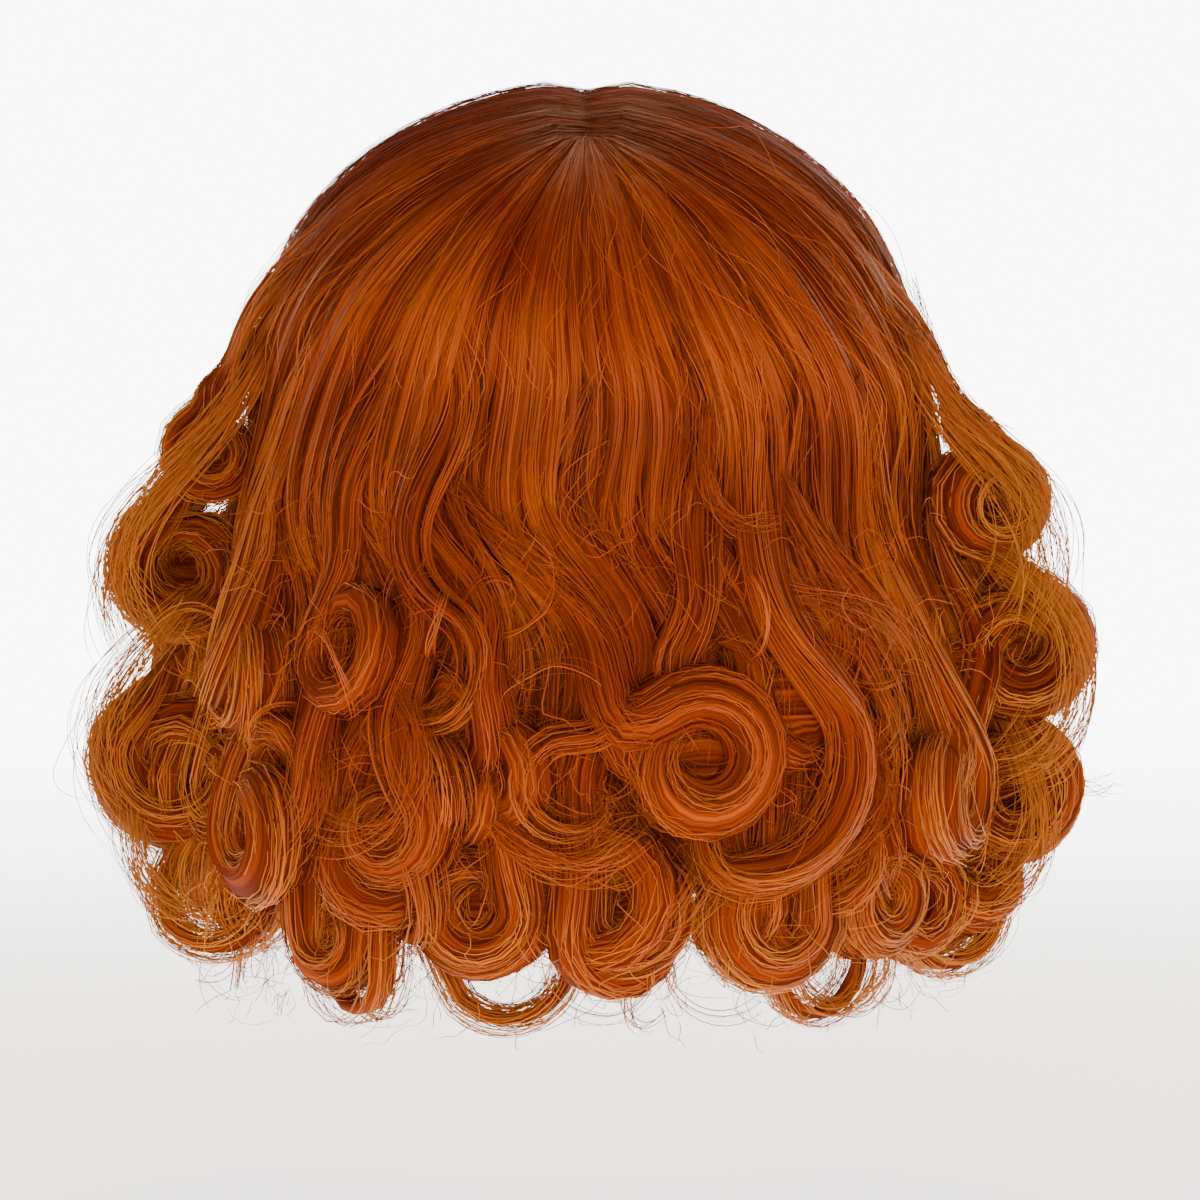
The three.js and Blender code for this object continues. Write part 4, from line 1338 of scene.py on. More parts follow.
@dataclass
class CurlLock:
    """A lock that flows down over the waves and ends in a coil.

    The flow is its way down the waves, and the lead its way from them to the coil. Widths, depths and
    strays are in metres. Shares are of the section's half sizes or of the lock's length.
    """

    form: HairForm
    curl: Curl
    strands: int = 130
    steps: int = 30
    flow_steps: int = 21
    flow_reach: float = 0.6
    flow_from: float = 0.3
    flow_swing: float = 0.11
    flow_drift: float = 0.16
    flow_sink: tuple[float, float] = (0.0040, 0.0045)
    flow_width: tuple[float, float, float] = (0.0030, 0.0070, 0.0065)
    flow_depth: tuple[float, float] = (0.0006, 0.0014)
    lead_steps: int = 8
    lead_hold: float = 0.9
    lead_lay: float = 0.8
    lead_climb: float = 0.75
    rounding: int = 16
    coil_steps: int = 30
    wound: tuple[float, float] = (0.10, 0.45)
    core_share: float = 0.88
    core_rings: int = 46
    core_sides: int = 16
    core_ends: tuple[float, float] = (0.02, 0.96)
    slim_band: float = 0.2
    slim_share: float = 0.45
    ridge: float = 0.12
    clumps: int = 6
    clump_gather: float = 0.35
    clump_sway: float = 0.25
    clump_rise: float = 0.06
    clump_tone: float = 0.15
    whole_share: float = 0.4
    tip_scatter: float = 0.06
    out: tuple[float, float] = (0.84, 1.03)
    bend: tuple[float, float] = (0.035, 0.10)
    stray: float = 0.0006
    roll: float = 0.5
    nest_hairs: int = 26
    middle_share: tuple[float, float] = (0.5, 0.3)
    middle_grid: tuple[int, int] = (8, 12)

    @property
    def slim(self) -> bool:
        """Whether the lock is a thin loop."""
        return self.curl.band < self.slim_band

    @property
    def turned_away(self) -> float:
        """How far the coil's axis is turned from the outward line, 0 to 1."""
        return abs(math.sin(math.radians(self.curl.yaw)))

    @property
    def whole(self) -> float:
        """How far the coil is wound, as a share of the curl's own turns."""
        further = 0 if self.slim else self.wound[0] + self.wound[1] * self.turned_away
        return 1 + further / self.curl.turns

    def axes(self) -> tuple[Array, Array, Array, Array]:
        """Works out the coil's directions.

        Returns:
            The outward line, the coil's across and up directions, and its axis.
        """
        angle, size = math.radians(self.curl.bearing), self.form.hair
        outward = Vector((math.sin(angle) / size[0], -math.cos(angle) / size[1], 0)).normalized()
        upward = Vector((0, 0, 1))
        yaw = Quaternion(upward, math.radians(self.curl.yaw))
        across = yaw @ upward.cross(outward)
        pitch = Quaternion(across, math.radians(-self.curl.pitch))
        axis = pitch @ (yaw @ outward)
        return np.array(outward), np.array(across), np.array(pitch @ upward), np.array(axis)

    def coil(self) -> Array:
        """Winds the coil.

        Returns:
            Its points, from the start to the tip.
        """
        curl, whole = self.curl, self.whole
        outward, across, up, _ = self.axes()
        level = -curl.level * HEM_DEPTH
        centre = self.form.side_point(curl.bearing, level) + outward * curl.stand * CURL_RADIUS
        share = np.linspace(0, whole, math.ceil(whole * curl.turns * self.coil_steps) + 1)[:, None]
        angle = np.radians(curl.start + curl.hand.value * curl.turns * 360 * share)
        reach = curl.radius * CURL_RADIUS * (1 - curl.tighten * share)
        reach = reach * (1 - 0.65 * smooth(share, 0.9, max(whole, 1.1)))
        return centre + across * reach * np.cos(angle) + up * reach * np.sin(angle)

    def lead(self, coil: Array, away: Array) -> Array:
        """Leads the hair over the waves to the coil.

        Args:
            coil: the coil's points.
            away: how far each point of the lead is from the coil, 1 to 0.

        Returns:
            The lead's points.
        """
        form, curl = self.form, self.curl
        outward = self.axes()[0]
        back = unit(coil[0] - coil[1])
        climb = unit(back + (np.array([0, 0, 1]) - back) * self.lead_climb * away[:, None])
        lead = coil[0] + climb * curl.lead * CURL_RADIUS * away[:, None]
        for row, held in zip(lead, away * self.lead_hold):
            offset = row - form.hair_centre
            bearing = math.degrees(math.atan2(offset[0] / form.hair[0], -offset[1] / form.hair[1]))
            off = (curl.body * CURL_RADIUS + RELIEF) / 2 * (1 - self.lead_lay * held)
            seat = form.side_point(bearing, row[2]) + outward * off
            row += (seat - row) * held
        return lead

    def flow(self, target: Array) -> Array:
        """Runs the hair down the waves.

        Args:
            target: the first point of the lead, at which it ends.

        Returns:
            Its points.
        """
        form, hand = self.form, self.curl.hand.value
        place, low = form.nearest(target)
        high = max(low - self.flow_reach, self.flow_from)
        reach = np.linspace(high, low, self.flow_steps + 1)[:-1]
        run = (reach - high) / (low - high)
        swing = math.sin(self.curl.bearing * 1.7) * self.flow_swing
        places = place + swing * np.sin(np.pi * run * 2.0) + self.flow_drift * hand * (1 - run)
        places = np.clip(places, 0.1, len(PARTINGS) - 1.1)
        relief = RELIEF * np.cos(form.wave_angle(places, reach)) * smooth(reach, SWAY_START, SWAY_FULL)
        height = relief - self.flow_sink[0] + self.flow_sink[1] * smooth(reach, high, low)
        join = smooth(reach, high + 0.5 * (low - high), low)[:, None]
        at_join = form.outer(np.array([place]), np.array([low]), 0.0)[0]
        return form.outer(places, reach, height) + (target - at_join) * join

    def guide(self) -> Guide:
        """Works out the lock's middle line: down the waves, over its lead and round its coil.

        Returns:
            The line, with the sizes of the lock along it.
        """
        away = np.linspace(1, 0, self.lead_steps + 1)[:-1]
        coil = self.coil()
        lead = self.lead(coil, away)
        flow = self.flow(lead[0])
        line = np.concatenate([flow, lead, coil])
        turned = np.concatenate([np.zeros(len(flow)), smooth(1 - away, 0, 1), np.ones(len(coil))])
        axes = unit(self.form.normal(line) * (1 - turned[:, None]) + self.axes()[3] * turned[:, None])
        weight = np.zeros(len(line))
        weight[1:len(flow) + len(lead) + 3] = 0.5
        softened(line, weight, self.rounding)
        run = np.concatenate([[0], np.cumsum(np.linalg.norm(np.diff(line, axis=0), axis=1))])
        at_lead, at_coil, end = run[len(flow)], run[len(flow) + len(lead)], run[-1]
        coil_share = np.clip((run - at_lead) / (end - at_lead), 0, 1)
        flow_share = np.clip(run / at_lead, 0, 1)
        to_tip = 1 - 0.6 * smooth(coil_share, 0.7, 1)
        band = self.curl.band * CURL_RADIUS * to_tip
        body = self.curl.body * CURL_RADIUS * to_tip
        late = at_lead * (0.65 + 0.35 * self.turned_away)
        swelling = smooth(run, late, at_coil + 0.1 * (end - at_coil))
        thin, wide, slimmer = self.flow_width
        flow_width = thin + wide * smooth(flow_share, 0, 0.6) - slimmer * self.turned_away * turned
        flow_depth = self.flow_depth[0] + self.flow_depth[1] * flow_share
        width = flow_width * (1 - swelling) + band * swelling
        depth = flow_depth * (1 - swelling) + body * swelling
        return Guide(line, axes, width, depth, float(at_lead * 0.8 / end))

    def core(self, guide: Guide) -> Piece:
        """Models the inside of the lock.

        Args:
            guide: the lock's middle line.

        Returns:
            The piece.
        """
        around = self.core_sides
        share = np.linspace(*self.core_ends, self.core_rings)
        angle = 2 * np.pi * np.arange(around) / around
        place, turn = np.meshgrid(share, angle, indexing="ij")
        fullness = self.core_share * (self.slim_share if self.slim else 1.0)
        swelling = smooth(share, guide.core_from * 0.6, guide.core_from * 1.1)
        root = 0.35 * smooth(share, 0.0, 0.08) + 0.65 * swelling
        taper = fullness * root * (1 - 0.6 * smooth(share, 0.84, 0.96))
        ridge = 1 + self.ridge * np.cos(turn * self.clumps + 5 * place)
        wide = taper[:, None] * ridge
        rings = guide.place(place, np.cos(turn) * wide, np.sin(turn) * wide)
        return rings_mesh(self.curl.name + "_core", capped(rings, rings.mean(1, keepdims=True)))

    def middle(self, guide: Guide) -> Piece:
        """Models the hair in the middle of the coil.

        Args:
            guide: the lock's middle line.

        Returns:
            The piece.
        """
        _, across, up, axis = self.axes()
        rings, sides = self.middle_grid
        turns = 2 * np.pi * np.arange(sides) / sides
        tilt, turn = np.meshgrid(np.linspace(0, math.pi, rings), turns, indexing="ij")
        radius = self.middle_share[0] * self.curl.radius * CURL_RADIUS
        deep = self.middle_share[1] * self.curl.body * CURL_RADIUS
        ball = guide.centre[-self.coil_steps:].mean(0) + across * radius * np.cos(tilt)[..., None]
        ball = ball + axis * deep * (np.sin(tilt) * np.cos(turn))[..., None]
        ball = ball + up * radius * (np.sin(tilt) * np.sin(turn))[..., None]
        return rings_mesh(self.curl.name + "_middle", ball)

    def hair(self, guide: Guide, rng: Chance) -> Piece:
        """Lays the strands of the lock round its core.

        Args:
            guide: the lock's middle line.
            rng: the source of chance.

        Returns:
            The piece.
        """
        bundle = Strands()
        self.lay(bundle, guide, rng, self.strands // 2 if self.slim else self.strands, 1.0, STRAND_WIDTH)
        self.lay(bundle, guide, rng, self.strands // 8, 3.2, FLYAWAY_WIDTH)
        if not self.slim:
            self.nest(bundle, guide, rng)
        return bundle.mesh(self.curl.name + "_strands")

    def nest(self, bundle: Strands, guide: Guide, rng: Chance) -> None:
        """Lays bent hairs across the middle of the coil.

        Args:
            bundle: what they are added to.
            guide: the lock's middle line.
            rng: the source of chance.
        """
        _, across, up, axis = self.axes()
        count, radius = self.nest_hairs, self.curl.radius * CURL_RADIUS
        run = np.linspace(0, 1, 10)[None, :]
        size = radius * rng.uniform(0.15, 0.75, (count, 1)) * (1 - 0.3 * run)
        angle = rng.uniform(0, 2 * np.pi, (count, 1)) + rng.uniform(2.0, 4.5, (count, 1)) * run
        ends = guide.centre[-self.coil_steps:].mean(0)
        middle = ends + axis * rng.normal(0, 0.3 * self.curl.body * CURL_RADIUS, (count, 1, 1))
        middle = middle + rng.normal(0, 0.0012, (count, 1, 3))
        points = middle + across * (size * np.cos(angle))[..., None]
        points = points + up * (size * np.sin(angle))[..., None]
        facing = rolled(points, unit(points - middle), rng.normal(0, 0.6, count))
        # Painted shade: the hairs in the middle of the coil get a low depth and are painted darker.
        depth = rng.uniform(0.1, 0.5, count)
        bundle.add(points, facing, STRAND_WIDTH, rng.uniform(0, 0.7, count), depth)

    def lay(self, bundle: Strands, guide: Guide, rng: Chance, count: int, loose: float,
            strand_width: float) -> None:
        """Lays strands along the guide.

        Args:
            bundle: what they are added to.
            guide: the lock's middle line.
            rng: the source of chance.
            count: how many strands.
            loose: how far they bend off the lock, 1 for combed hair.
            strand_width: how wide they are.
        """
        around = 2 * np.pi * (np.arange(count) + rng.uniform(0, 1, count)) / count
        rng.shuffle(around)
        even = math.sqrt(self.curl.band / self.curl.body)
        around = np.arctan2(np.sin(around) * even, np.cos(around)) % (2 * np.pi)
        out = rng.uniform(*self.out, count)
        clump = np.minimum((around / (2 * np.pi) * self.clumps).astype(int), self.clumps - 1)
        within = around / (2 * np.pi) * self.clumps - clump - 0.5
        from_root = rng.uniform(0, 1, count) < self.whole_share
        start = np.where(from_root, 0.0, rng.uniform(0, guide.core_from * 1.1, count))
        end = 1 - np.abs(rng.normal(0, self.tip_scatter, count))
        run = np.linspace(0, 1, self.steps)[None, :]
        paced = np.interp(run, (0, 0.3, 1), (0, guide.core_from, 1))
        share = start[:, None] + (end - start)[:, None] * paced
        tip = smooth(share, 0.55, 1.0)
        clump_phase = rng.uniform(0, 2 * np.pi, self.clumps)[clump][:, None]
        clump_out = rng.normal(0, self.clump_rise, self.clumps)[clump][:, None] * smooth(share, 0.3, 0.7)
        gather = within[:, None] * (2 * np.pi / self.clumps) * self.clump_gather * smooth(share, 0.2, 0.9)
        angle = around[:, None] - gather
        angle = angle + self.clump_sway * np.sin(2 * np.pi * share * 1.3 + clump_phase)
        wide = out[:, None] + self.clump_rise * np.cos(2 * np.pi * within)[:, None] + clump_out
        bend = loose * (self.bend[0] + self.bend[1] * tip)
        sideways = np.cos(angle) * wide + frizz(rng, count, share, (1.5, 3.7)) * bend
        deep = np.sin(angle) * wide + frizz(rng, count, share, (1.7, 4.1)) * bend
        points = guide.place(share, sideways, deep)
        stray = self.stray * loose * (0.3 + tip)
        points += wobble(rng, count, share, (1.1, 2.9)) * stray[..., None]
        normal = guide.read(share, guide.sideways) * np.cos(angle)[..., None]
        normal = normal + guide.read(share, guide.deep) * np.sin(angle)[..., None]
        flow_normal = self.form.normal(points)
        coiled = smooth(share, guide.core_from * 0.8, guide.core_from * 1.2)[..., None]
        facing = unit(flow_normal * (1 - coiled) + normal * coiled)
        facing = rolled(points, facing, rng.normal(0, self.roll, count))
        # Painted shade: strands that lie further in and at the sides of their clump get a lower depth and are
        # painted darker.
        depth = np.clip(0.45 + 2.2 * (out - self.out[0]) + 0.2 * np.cos(2 * np.pi * within), 0, 1)
        tone = rng.beta(2.0, 2.3, count) + rng.normal(0, self.clump_tone, self.clumps)[clump]
        tone = np.clip(tone + rng.normal(0, 0.1), 0, 1)
        bundle.add(points, facing, strand_width, tone, depth)

    def build(self, rng: Chance, finishes: Finishes) -> None:
        """Builds and dresses the lock.

        Args:
            rng: the source of chance.
            finishes: the materials, by name.
        """
        guide = self.guide()
        parts = [self.core(guide)] if self.slim else [self.core(guide), self.middle(guide)]
        settle(joined(self.curl.name + "_inside", parts), finishes["core"], [self.curl.name])
        settle(self.hair(guide, rng), finishes["hair"], [self.curl.name])


@dataclass
class FillingCurls:
    """The smaller curls that lie between and under the named ones, with their cores joined as one piece and
    their strands as another for each side.
    """

    form: HairForm
    name: str
    bearings: tuple[float, float]
    count: int
    strands: int = 54
    steps: int = 22

    def choose(self, rng: Chance, number: int) -> Curl:
        """Chooses a curl between its neighbours.

        Args:
            rng: the source of chance.
            number: its place in the row, from 0.

        Returns:
            The curl.
        """
        low, high = self.bearings
        bearing = low + (high - low) * (number + rng.uniform(0.1, 0.9)) / self.count
        hand = Hand.LEFT if rng.uniform() < 0.5 else Hand.RIGHT
        return Curl(
            f"{self.name}_{number}",
            bearing=bearing,
            level=float(np.interp(rng.uniform(0, 1), (0, 0.35, 1), (0.56, 0.72, 0.92))),
            radius=rng.uniform(0.34, 0.62),
            band=rng.uniform(0.17, 0.27),
            body=rng.uniform(0.22, 0.36),
            stand=rng.uniform(-0.12, 0.26),
            lead=rng.uniform(0.7, 1.2),
            hand=hand,
            start=rng.uniform(110, 175) if hand is Hand.LEFT else rng.uniform(5, 70),
            turns=rng.uniform(0.75, 1.25),
            tighten=rng.uniform(0.2, 0.45),
            yaw=rng.normal(0, 35),
            pitch=rng.normal(0, 14),
        )

    def build(self, rng: Chance, finishes: Finishes) -> None:
        """Builds and dresses the curls.

        Args:
            rng: the source of chance.
            finishes: the materials, by name.
        """
        curls = [self.choose(rng, number) for number in range(self.count)]
        bundle = Strands()
        cores = []
        for curl in curls:
            lock = CurlLock(self.form, curl, steps=self.steps, core_rings=28, core_sides=10, clumps=4)
            guide = lock.guide()
            cores.append(lock.core(guide))
            lock.lay(bundle, guide, rng, self.strands, 1.3, STRAND_WIDTH)
            lock.lay(bundle, guide, rng, self.strands // 6, 3.6, FLYAWAY_WIDTH)
        settle(joined(self.name + "_core", cores), finishes["core"], [])
        settle(bundle.mesh(self.name + "_strands"), finishes["hair"], [])


@dataclass
class Curtain:
    """The inner curtain of hair that is sewn to the cap from ear to ear."""

    form: HairForm
    strands: int = 900
    strand_share: float = 1.1
    steps: int = 13
    places: int = 44
    rings: int = 12
    hem_margin: float = 0.06
    hem_scatter: float = 0.06
    latest_start: float = 1.25
    core_wall: tuple[float, float] = (0.25, 0.8)

    def core(self) -> Piece:
        """Models the inside of the curtain.

        Returns:
            The piece.
        """
        last = len(PARTINGS) - 2
        reach = np.linspace(self.form.curtain_start, self.form.curtain_reach - self.hem_margin, self.rings)
        place = np.linspace(1.02, last - 0.02, self.places)
        spot, depth = np.meshgrid(place, reach, indexing="ij")
        seat = self.form.cap_wall + self.form.clearance
        outside = self.form.inner(spot, depth, seat + self.form.curtain_wall(depth) * self.core_wall[1])
        inside = self.form.inner(spot, depth, seat + self.form.curtain_wall(depth) * self.core_wall[0])
        rings = np.concatenate([outside, inside[:, ::-1]], 1)
        return rings_mesh("under_hair_core", capped(rings, rings.mean(1, keepdims=True)))

    def hair(self, rng: Chance) -> Piece:
        """Hangs the strands on both sides of the curtain.

        Args:
            rng: the source of chance.

        Returns:
            The piece.
        """
        count = self.strands
        last = len(PARTINGS) - 2
        place = rng.uniform(1, last, count)
        side = rng.uniform(0, 1, count)
        start = rng.uniform(self.form.curtain_start, self.latest_start, count)
        end = self.form.curtain_reach + rng.normal(-0.02, self.hem_scatter, count)
        run = np.linspace(0, 1, self.steps)[None, :]
        reach = start[:, None] + (end - start)[:, None] * run
        loose = smooth(reach, 1.0, 2.0)
        placed = place[:, None] + frizz(rng, count, reach, (0.8, 1.9)) * 0.05 * (0.4 + loose)
        placed = np.clip(placed, 1, last)
        seat = self.form.cap_wall + self.form.clearance
        height = seat + self.form.curtain_wall(reach) * side[:, None]
        height = height + frizz(rng, count, reach, (1.0, 2.3)) * 0.0010 * loose
        points = self.form.inner(placed, reach, height)
        out = self.form.normal(points) * np.where(side > 0.5, 1.0, -1.0)[:, None, None]
        facing = rolled(points, out, rng.normal(0, 0.4, count))
        bundle = Strands()
        # Painted shade: strands in the middle of the curtain get a lower depth and are painted darker than
        # those on its two faces.
        depth = np.clip(0.35 + np.abs(side - 0.5), 0, 1)
        bundle.add(points, facing, STRAND_WIDTH * self.strand_share, rng.beta(2, 3, count), depth)
        return bundle.mesh("under_hair_strands")

    def build(self, rng: Chance, finishes: Finishes) -> None:
        """Builds and dresses the curtain."""
        settle(self.core(), finishes["turned core"], ["under_hair"])
        settle(self.hair(rng), finishes["shade"], ["under_hair"])


@dataclass
class NetCap:
    """The thin cap of elastic net, with rows of sewn hair inside and a bound hem."""

    form: HairForm
    meridians: int = 96
    steps: int = 44
    weft_pitch: float = 0.075
    weft_rise: float = 0.0005
    binding: float = 0.0004

    def build(self, finishes: Finishes) -> None:
        """Builds and dresses the cap.

        Args:
            finishes: the materials, by name.
        """
        bearing = np.linspace(-180, 180, self.meridians + 1)[:-1]
        share = np.linspace(0, 1, self.steps + 1)
        turn, along = np.meshgrid(bearing, share, indexing="ij")
        hem = np.arccos(1 - read_table(CAP_HEM, np.abs(turn)))
        angle = along * hem
        weft = smooth(np.cos(2 * np.pi * angle / self.weft_pitch), 0.6, 1) * smooth(along, 0.1, 0.2)
        bound = smooth(along, 0.955, 0.975)
        outside = self.form.cap_wall + self.binding * bound
        inside = -self.weft_rise * weft - self.binding * bound
        sheets = []
        for wall in (outside, inside):
            level = self.form.level_direction(turn) * np.sin(angle)[..., None]
            level[..., 2] = np.cos(angle)
            sheets.append(self.form.head_centre + level * (self.form.head + wall[..., None]))
        rings = np.concatenate([sheets[0], sheets[1][:, ::-1]], 1)
        settle(rings_mesh("wig_cap_net", rings, wrapped=True), finishes["net"], ["wig_cap"])


@dataclass
class Wisps:
    """Loose hair: flyaways on the dome, loops and frizz among the curls, wisps and loose locks."""

    form: HairForm
    flyaways: int = 380
    flyaway_steps: int = 22
    loops: int = 76
    loop_strands: int = 7
    loop_steps: int = 26
    root_depth: float = 0.005
    frizz: int = 4300
    frizz_steps: int = 10
    frizz_bearing: float = 136.0
    frizz_radius: tuple[float, float] = (0.005, 0.019)
    frizz_length: float = 0.030
    frizz_turn: float = 4.2
    frizz_off: tuple[float, float] = (0.003, 0.0065)
    loop_bearing: float = 128.0
    loop_level: tuple[float, float] = (0.45, 0.95)
    loop_radius: tuple[float, float] = (0.008, 0.021)
    loop_sweep: tuple[float, float] = (3.2, 6.6)

    def over_waves(self, bundle: Strands, rng: Chance) -> None:
        """Lays single hairs that stand off the waves.

        Args:
            bundle: what they are added to.
            rng: the source of chance.
        """
        count = self.flyaways
        place = rng.uniform(0.05, len(PARTINGS) - 1.05, count)
        start = rng.uniform(0.1, 1.1, count)
        end = start + rng.uniform(0.3, 0.8, count)
        run = np.linspace(0, 1, self.flyaway_steps)[None, :]
        reach = np.clip(start[:, None] + (end - start)[:, None] * run, 0.02, 1.9)
        off = np.sin(np.pi * np.clip(run * 1.1, 0, 1)) * rng.gamma(1.3, 0.0007, (count, 1))
        angle = self.form.wave_angle(place[:, None] + 0 * reach, reach)
        relief = RELIEF * np.cos(angle) * smooth(reach, 0.45, 1)
        placed = place[:, None] + frizz(rng, count, run + 0 * reach, (0.7, 1.6)) * 0.12
        placed = np.clip(placed, 0, len(PARTINGS) - 1)
        points = self.form.outer(placed, reach, relief + off + 0.0006)
        facing = rolled(points, self.form.normal(points), rng.normal(0, 0.7, count))
        tone = rng.uniform(0.4, 1, count)
        bundle.add(points, facing, FLYAWAY_WIDTH, tone, np.full(count, 0.9))

    def round_hem(self, bundle: Strands, rng: Chance) -> None:
        """Lays thin loops of a few hairs between and below the curls.

        Args:
            bundle: what they are added to.
            rng: the source of chance.
        """
        for _ in range(self.loops):
            bearing = rng.uniform(-self.loop_bearing, self.loop_bearing)
            level = rng.uniform(*self.loop_level)
            radius = rng.uniform(*self.loop_radius)
            outward = self.form.level_direction(np.array(bearing))
            aside = np.cross((0, 0, 1), outward)
            axis = outward * rng.uniform(0.2, 1) + aside * rng.normal(0, 0.6)
            axis = unit(axis + np.array([0, 0, rng.normal(0, 0.25)]))
            across = unit(np.cross((0, 0, 1), axis))
            up = np.cross(axis, across)
            centre = self.form.side_point(bearing, -level * HEM_DEPTH) + outward * rng.uniform(0.000, 0.014)
            run = np.linspace(0, 1, self.loop_steps)[None, :, None]
            hand = rng.choice((-1, 1))
            angle = rng.uniform(0, 2 * np.pi) + hand * run * rng.uniform(*self.loop_sweep)
            count = self.loop_strands
            sizes = radius * (1 - rng.uniform(0.1, 0.5) * run) * rng.normal(1, 0.06, (count, 1, 1))
            shift = rng.normal(0, 0.0011, (count, 1, 3)) + axis * rng.normal(0, 0.004) * run
            points = centre + shift + across * sizes * np.cos(angle) + up * sizes * np.sin(angle)
            points = points + wobble(rng, count, run[..., 0], (1.2, 2.6)) * 0.0010 * run
            facing = rolled(points, unit(points - centre), rng.normal(0, 0.8, count))
            tone = rng.uniform(0.45, 1, count)
            bundle.add(points, facing, FLYAWAY_WIDTH * 1.5, tone, np.full(count, 0.85))

    def among_curls(self, bundle: Strands, rng: Chance) -> None:
        """Lays short bent hairs in and round the curls.

        Args:
            bundle: what they are added to.
            rng: the source of chance.
        """
        count = self.frizz
        bearing = rng.uniform(-self.frizz_bearing, self.frizz_bearing, count)
        level = 0.40 + 0.58 * rng.beta(1.6, 1.25, count)
        outward = self.form.level_direction(bearing)
        aside = np.cross((0, 0, 1), outward)
        upward = np.array([0, 0, 1]) * rng.normal(0, 0.35, (count, 1))
        axis = outward * rng.uniform(0.1, 1, (count, 1)) + aside * rng.normal(0, 0.6, (count, 1))
        axis = unit(axis + upward)
        across = unit(np.cross((0, 0, 1), axis))
        up = np.cross(axis, across)
        off = rng.normal(*self.frizz_off, (count, 1))
        centre = self.form.side_point(bearing, -level * HEM_DEPTH) + outward * off
        run = np.linspace(0, 1, self.frizz_steps)[None, :]
        radius = rng.uniform(*self.frizz_radius, (count, 1))
        hand = rng.choice((-1, 1), (count, 1))
        longest = np.minimum(self.frizz_length / radius, self.frizz_turn)
        sweep = hand * longest * rng.uniform(0.5, 1.2, (count, 1))
        angle = rng.uniform(0, 2 * np.pi, (count, 1)) + sweep * run
        size = (radius * (1 - 0.35 * run * rng.uniform(0, 1, (count, 1))))[..., None]
        points = centre[:, None] + across[:, None] * size * np.cos(angle)[..., None]
        points = points + up[:, None] * size * np.sin(angle)[..., None]
        points = points + wobble(rng, count, run, (0.8, 1.7)) * 0.0011
        facing = rolled(points, unit(points - self.form.hair_centre), rng.normal(0, 0.6, count))
        # Painted shade: frizz that lies closer in among the curls gets a lower depth and is painted darker.
        depth = np.clip(0.25 + off[:, 0] * 45, 0.05, 0.8)
        bundle.add(points, facing, FRIZZ_WIDTH, rng.uniform(0, 0.8, count), depth)

    def line(self, wisp: Wisp, seated: bool) -> Array:
        """Works out the middle line of a wisp.

        Args:
            wisp: the wisp.
            seated: whether it lies on the waves, with its root tucked in.

        Returns:
            Its points.
        """
        marks = np.array([(x, wisp.depth, z) for x, z in wisp.points]) / 1000
        if seated:
            across = np.arcsin(np.clip(marks[:, 0] / (self.form.hair[0] * 1.05), -0.98, 0.98))
            risen = smooth(np.linspace(0, 1, len(marks)), -0.1, 0.45)
            off = marks[:, 1] * risen - self.root_depth * (1 - risen)
            marks[:, 1] = self.form.side_point(np.degrees(across), marks[:, 2])[:, 1] - off
        run = np.linspace(0, len(marks) - 1, wisp.steps)
        line = np.stack([np.interp(run, np.arange(len(marks)), marks[:, axis]) for axis in range(3)], -1)
        return softened(line, np.full(wisp.steps, 0.5), 5)

    def laid(self, bundle: Strands, rng: Chance, wisps: Sequence[Wisp], seated: bool) -> None:
        """Lays wisps.

        Args:
            bundle: what they are added to.
            rng: the source of chance.
            wisps: the wisps.
            seated: whether they lie on the waves.
        """
        for wisp in wisps:
            count = wisp.strands
            share = np.linspace(0, 1, wisp.steps)[None, :]
            spread = rng.normal(0, wisp.spread / 1000, (count, 1, 3)) * (0.5 + 0.9 * share[..., None])
            bends = wobble(rng, count, share, (0.8, 1.9)) * 0.0014
            points = self.line(wisp, seated)[None] + spread + bends
            to_camera = np.broadcast_to((0.0, -1.0, 0.0), points.shape)
            facing = rolled(points, to_camera, rng.normal(0, 0.6, count))
            tone = rng.uniform(0.2, 1, count)
            bundle.add(points, facing, FRIZZ_WIDTH, tone, rng.uniform(0.3, 0.8, count))

    def build(self, rng: Chance, finishes: Finishes) -> None:
        """Builds and dresses the loose hair.

        Args:
            rng: the source of chance.
            finishes: the materials, by name.
        """
        bundle = Strands()
        self.over_waves(bundle, rng)
        self.round_hem(bundle, rng)
        self.among_curls(bundle, rng)
        self.laid(bundle, rng, WISPS, seated=False)
        self.laid(bundle, rng, LOOSE_LOCKS, seated=True)
        settle(bundle.mesh("loose_hair"), finishes["hair"], [])


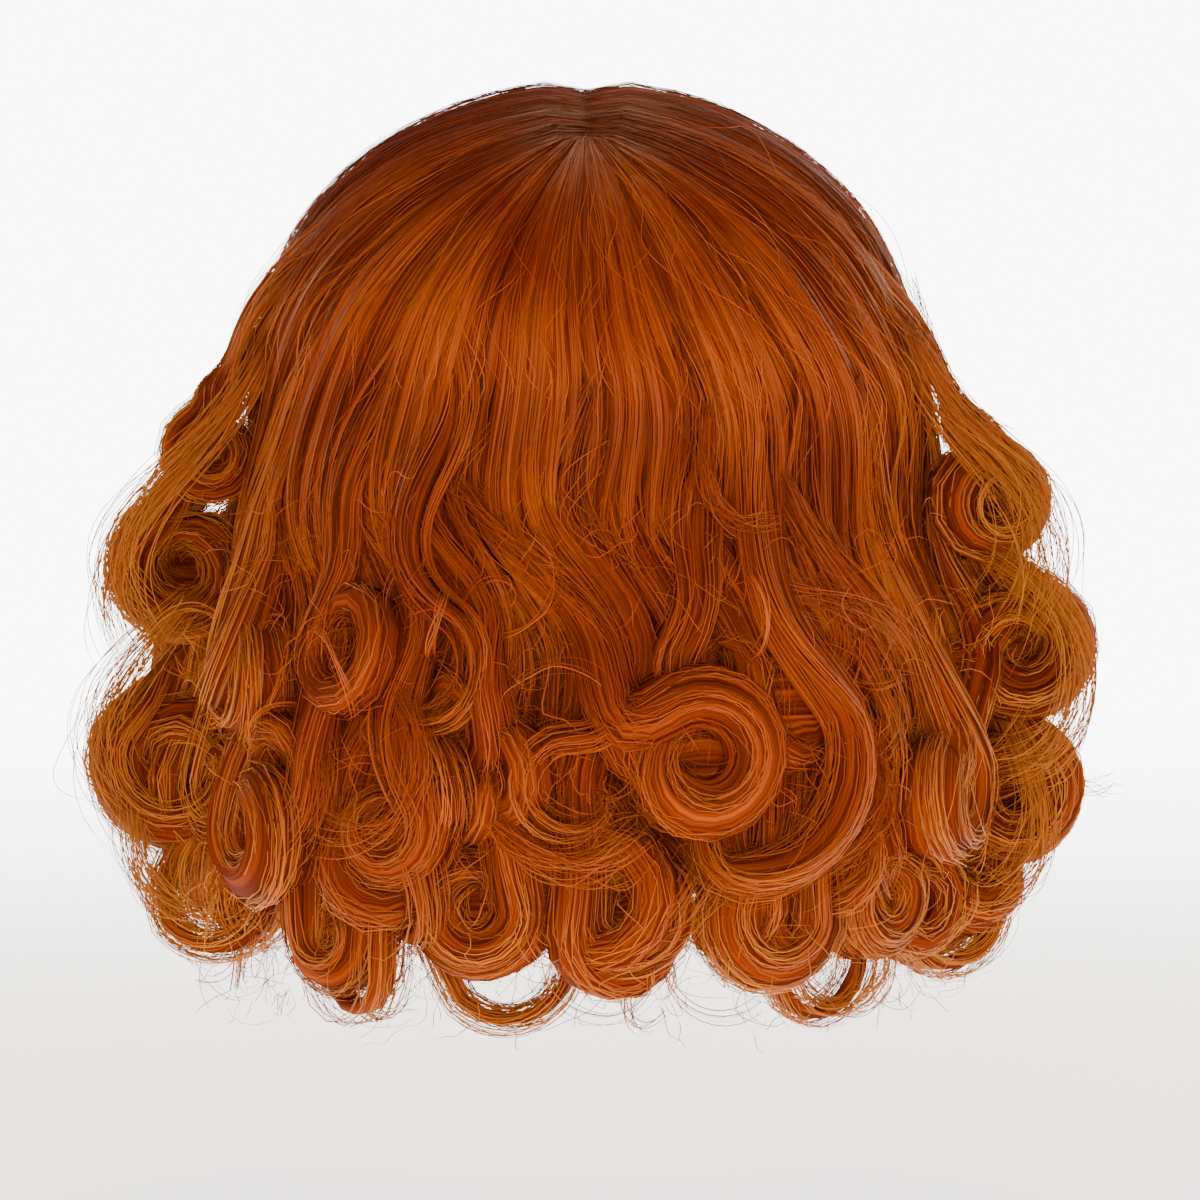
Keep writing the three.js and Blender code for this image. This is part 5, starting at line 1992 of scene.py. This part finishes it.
@dataclass
class Studio:
    """The pale floor, the soft lights and the camera."""

    frame_width: float = 0.396
    middle: Triple = (0.0046, -0.03, -0.1516)
    distance: float = 2.6
    elevation: float = 3.0
    floor_level: float = -0.352
    floor_radius: float = 3.0
    fade_from: float = 0.5
    fade_over: float = 2.0
    floor_glow: float = 2.2
    backdrop_light: float = 0.30
    backdrop_white: float = 9.0

    def floor(self) -> None:
        """Lays the floor, which fades into the backdrop."""
        mesh = bmesh.new()
        bmesh.ops.create_circle(mesh, cap_ends=True, segments=96, radius=self.floor_radius)
        bmesh.ops.translate(mesh, verts=mesh.verts, vec=(0, 0, self.floor_level))
        data = bpy.data.meshes.new("studio_floor")
        mesh.to_mesh(data)
        mesh.free()
        piece = linked("studio_floor", data)
        shader = Shader("pale floor")
        away = shader.add("ShaderNodeVectorMath", {"operation": "LENGTH"}, {0: shader.place()}, "Value")
        fade = ((away - self.fade_from) / self.fade_over).held()
        data.materials.append(shader.finish({
            "Base Color": (0.9, 0.9, 0.9, 1),
            "Roughness": 0.9,
            "Emission Color": WHITE,
            "Emission Strength": self.floor_glow,
            "Alpha": 1 - fade * fade * (3 - fade * 2),
        }))

    def light(self, lamp: Lamp) -> None:
        """Hangs a light.

        Args:
            lamp: the light.
        """
        data = bpy.data.lights.new(lamp.name, "AREA")
        data.shape = "DISK"
        data.size = lamp.size
        data.energy = lamp.power
        data.color = lamp.colour
        hung = linked(lamp.name, data)
        hung.location = lamp.place
        towards = Vector(self.middle) - Vector(lamp.place)
        hung.rotation_mode = "QUATERNION"
        hung.rotation_quaternion = towards.to_track_quat("-Z", "Y")

    def backdrop(self) -> None:
        """Sets the white backdrop, which lights the wig only softly."""
        world = bpy.data.worlds.new("studio")
        world.use_nodes = True
        tree = world.node_tree
        tree.nodes.clear()
        path = tree.nodes.new("ShaderNodeLightPath")
        seen = tree.nodes.new("ShaderNodeMapRange")
        seen.inputs["To Min"].default_value = self.backdrop_light
        seen.inputs["To Max"].default_value = self.backdrop_white
        back = tree.nodes.new("ShaderNodeBackground")
        output = tree.nodes.new("ShaderNodeOutputWorld")
        tree.links.new(path.outputs["Is Camera Ray"], seen.inputs["Value"])
        tree.links.new(seen.outputs["Result"], back.inputs["Strength"])
        tree.links.new(back.outputs["Background"], output.inputs["Surface"])
        back.inputs["Color"].default_value = WHITE
        bpy.context.scene.world = world

    def camera(self) -> None:
        """Sets up the camera as the photograph was taken."""
        data = bpy.data.cameras.new("camera")
        data.lens = data.sensor_width * self.distance / self.frame_width
        data.clip_end = 100
        camera = linked("camera", data)
        angle = math.radians(self.elevation)
        back = Vector((0, -math.cos(angle), math.sin(angle)))
        camera.location = Vector(self.middle) + back * self.distance
        camera.rotation_mode = "QUATERNION"
        camera.rotation_quaternion = (-back).to_track_quat("-Z", "Y")
        bpy.context.scene.camera = camera

    def build(self) -> None:
        """Sets up the studio."""
        self.floor()
        for lamp in LAMPS:
            self.light(lamp)
        self.backdrop()
        self.camera()


def main() -> None:
    """Builds the wig on its frame and sets up the studio."""
    form = HairForm()
    finishes = {
        "hair": HairFinish("copper hair").make(),
        "shade": HairFinish("shaded hair", deep=(0.05, 0.006, 0.0005), body=(0.20, 0.028, 0.001),
                            light=(0.42, 0.09, 0.004)).make(),
        "core": CoreFinish("inner hair").make(),
        "turned core": CoreFinish("inner curtain", turned=True).make(),
        "net": NetFinish("cap net").make(),
    }
    Studio().build()
    NetCap(form).build(finishes)
    Curtain(form).build(chance(Seed.CURTAIN), finishes)
    for place, wave in enumerate(WAVES):
        WaveLock(form, wave, place).build(chance(Seed.WAVES, place), finishes)
    for number, curl in enumerate(CURLS):
        CurlLock(form, curl).build(chance(Seed.CURLS, number), finishes)
    for number, (name, bearings, count) in enumerate(FILLING):
        FillingCurls(form, name, bearings, count).build(chance(Seed.FILLING, number), finishes)
    Wisps(form).build(chance(Seed.LOOSE), finishes)


if __name__ == "__main__":
    main()
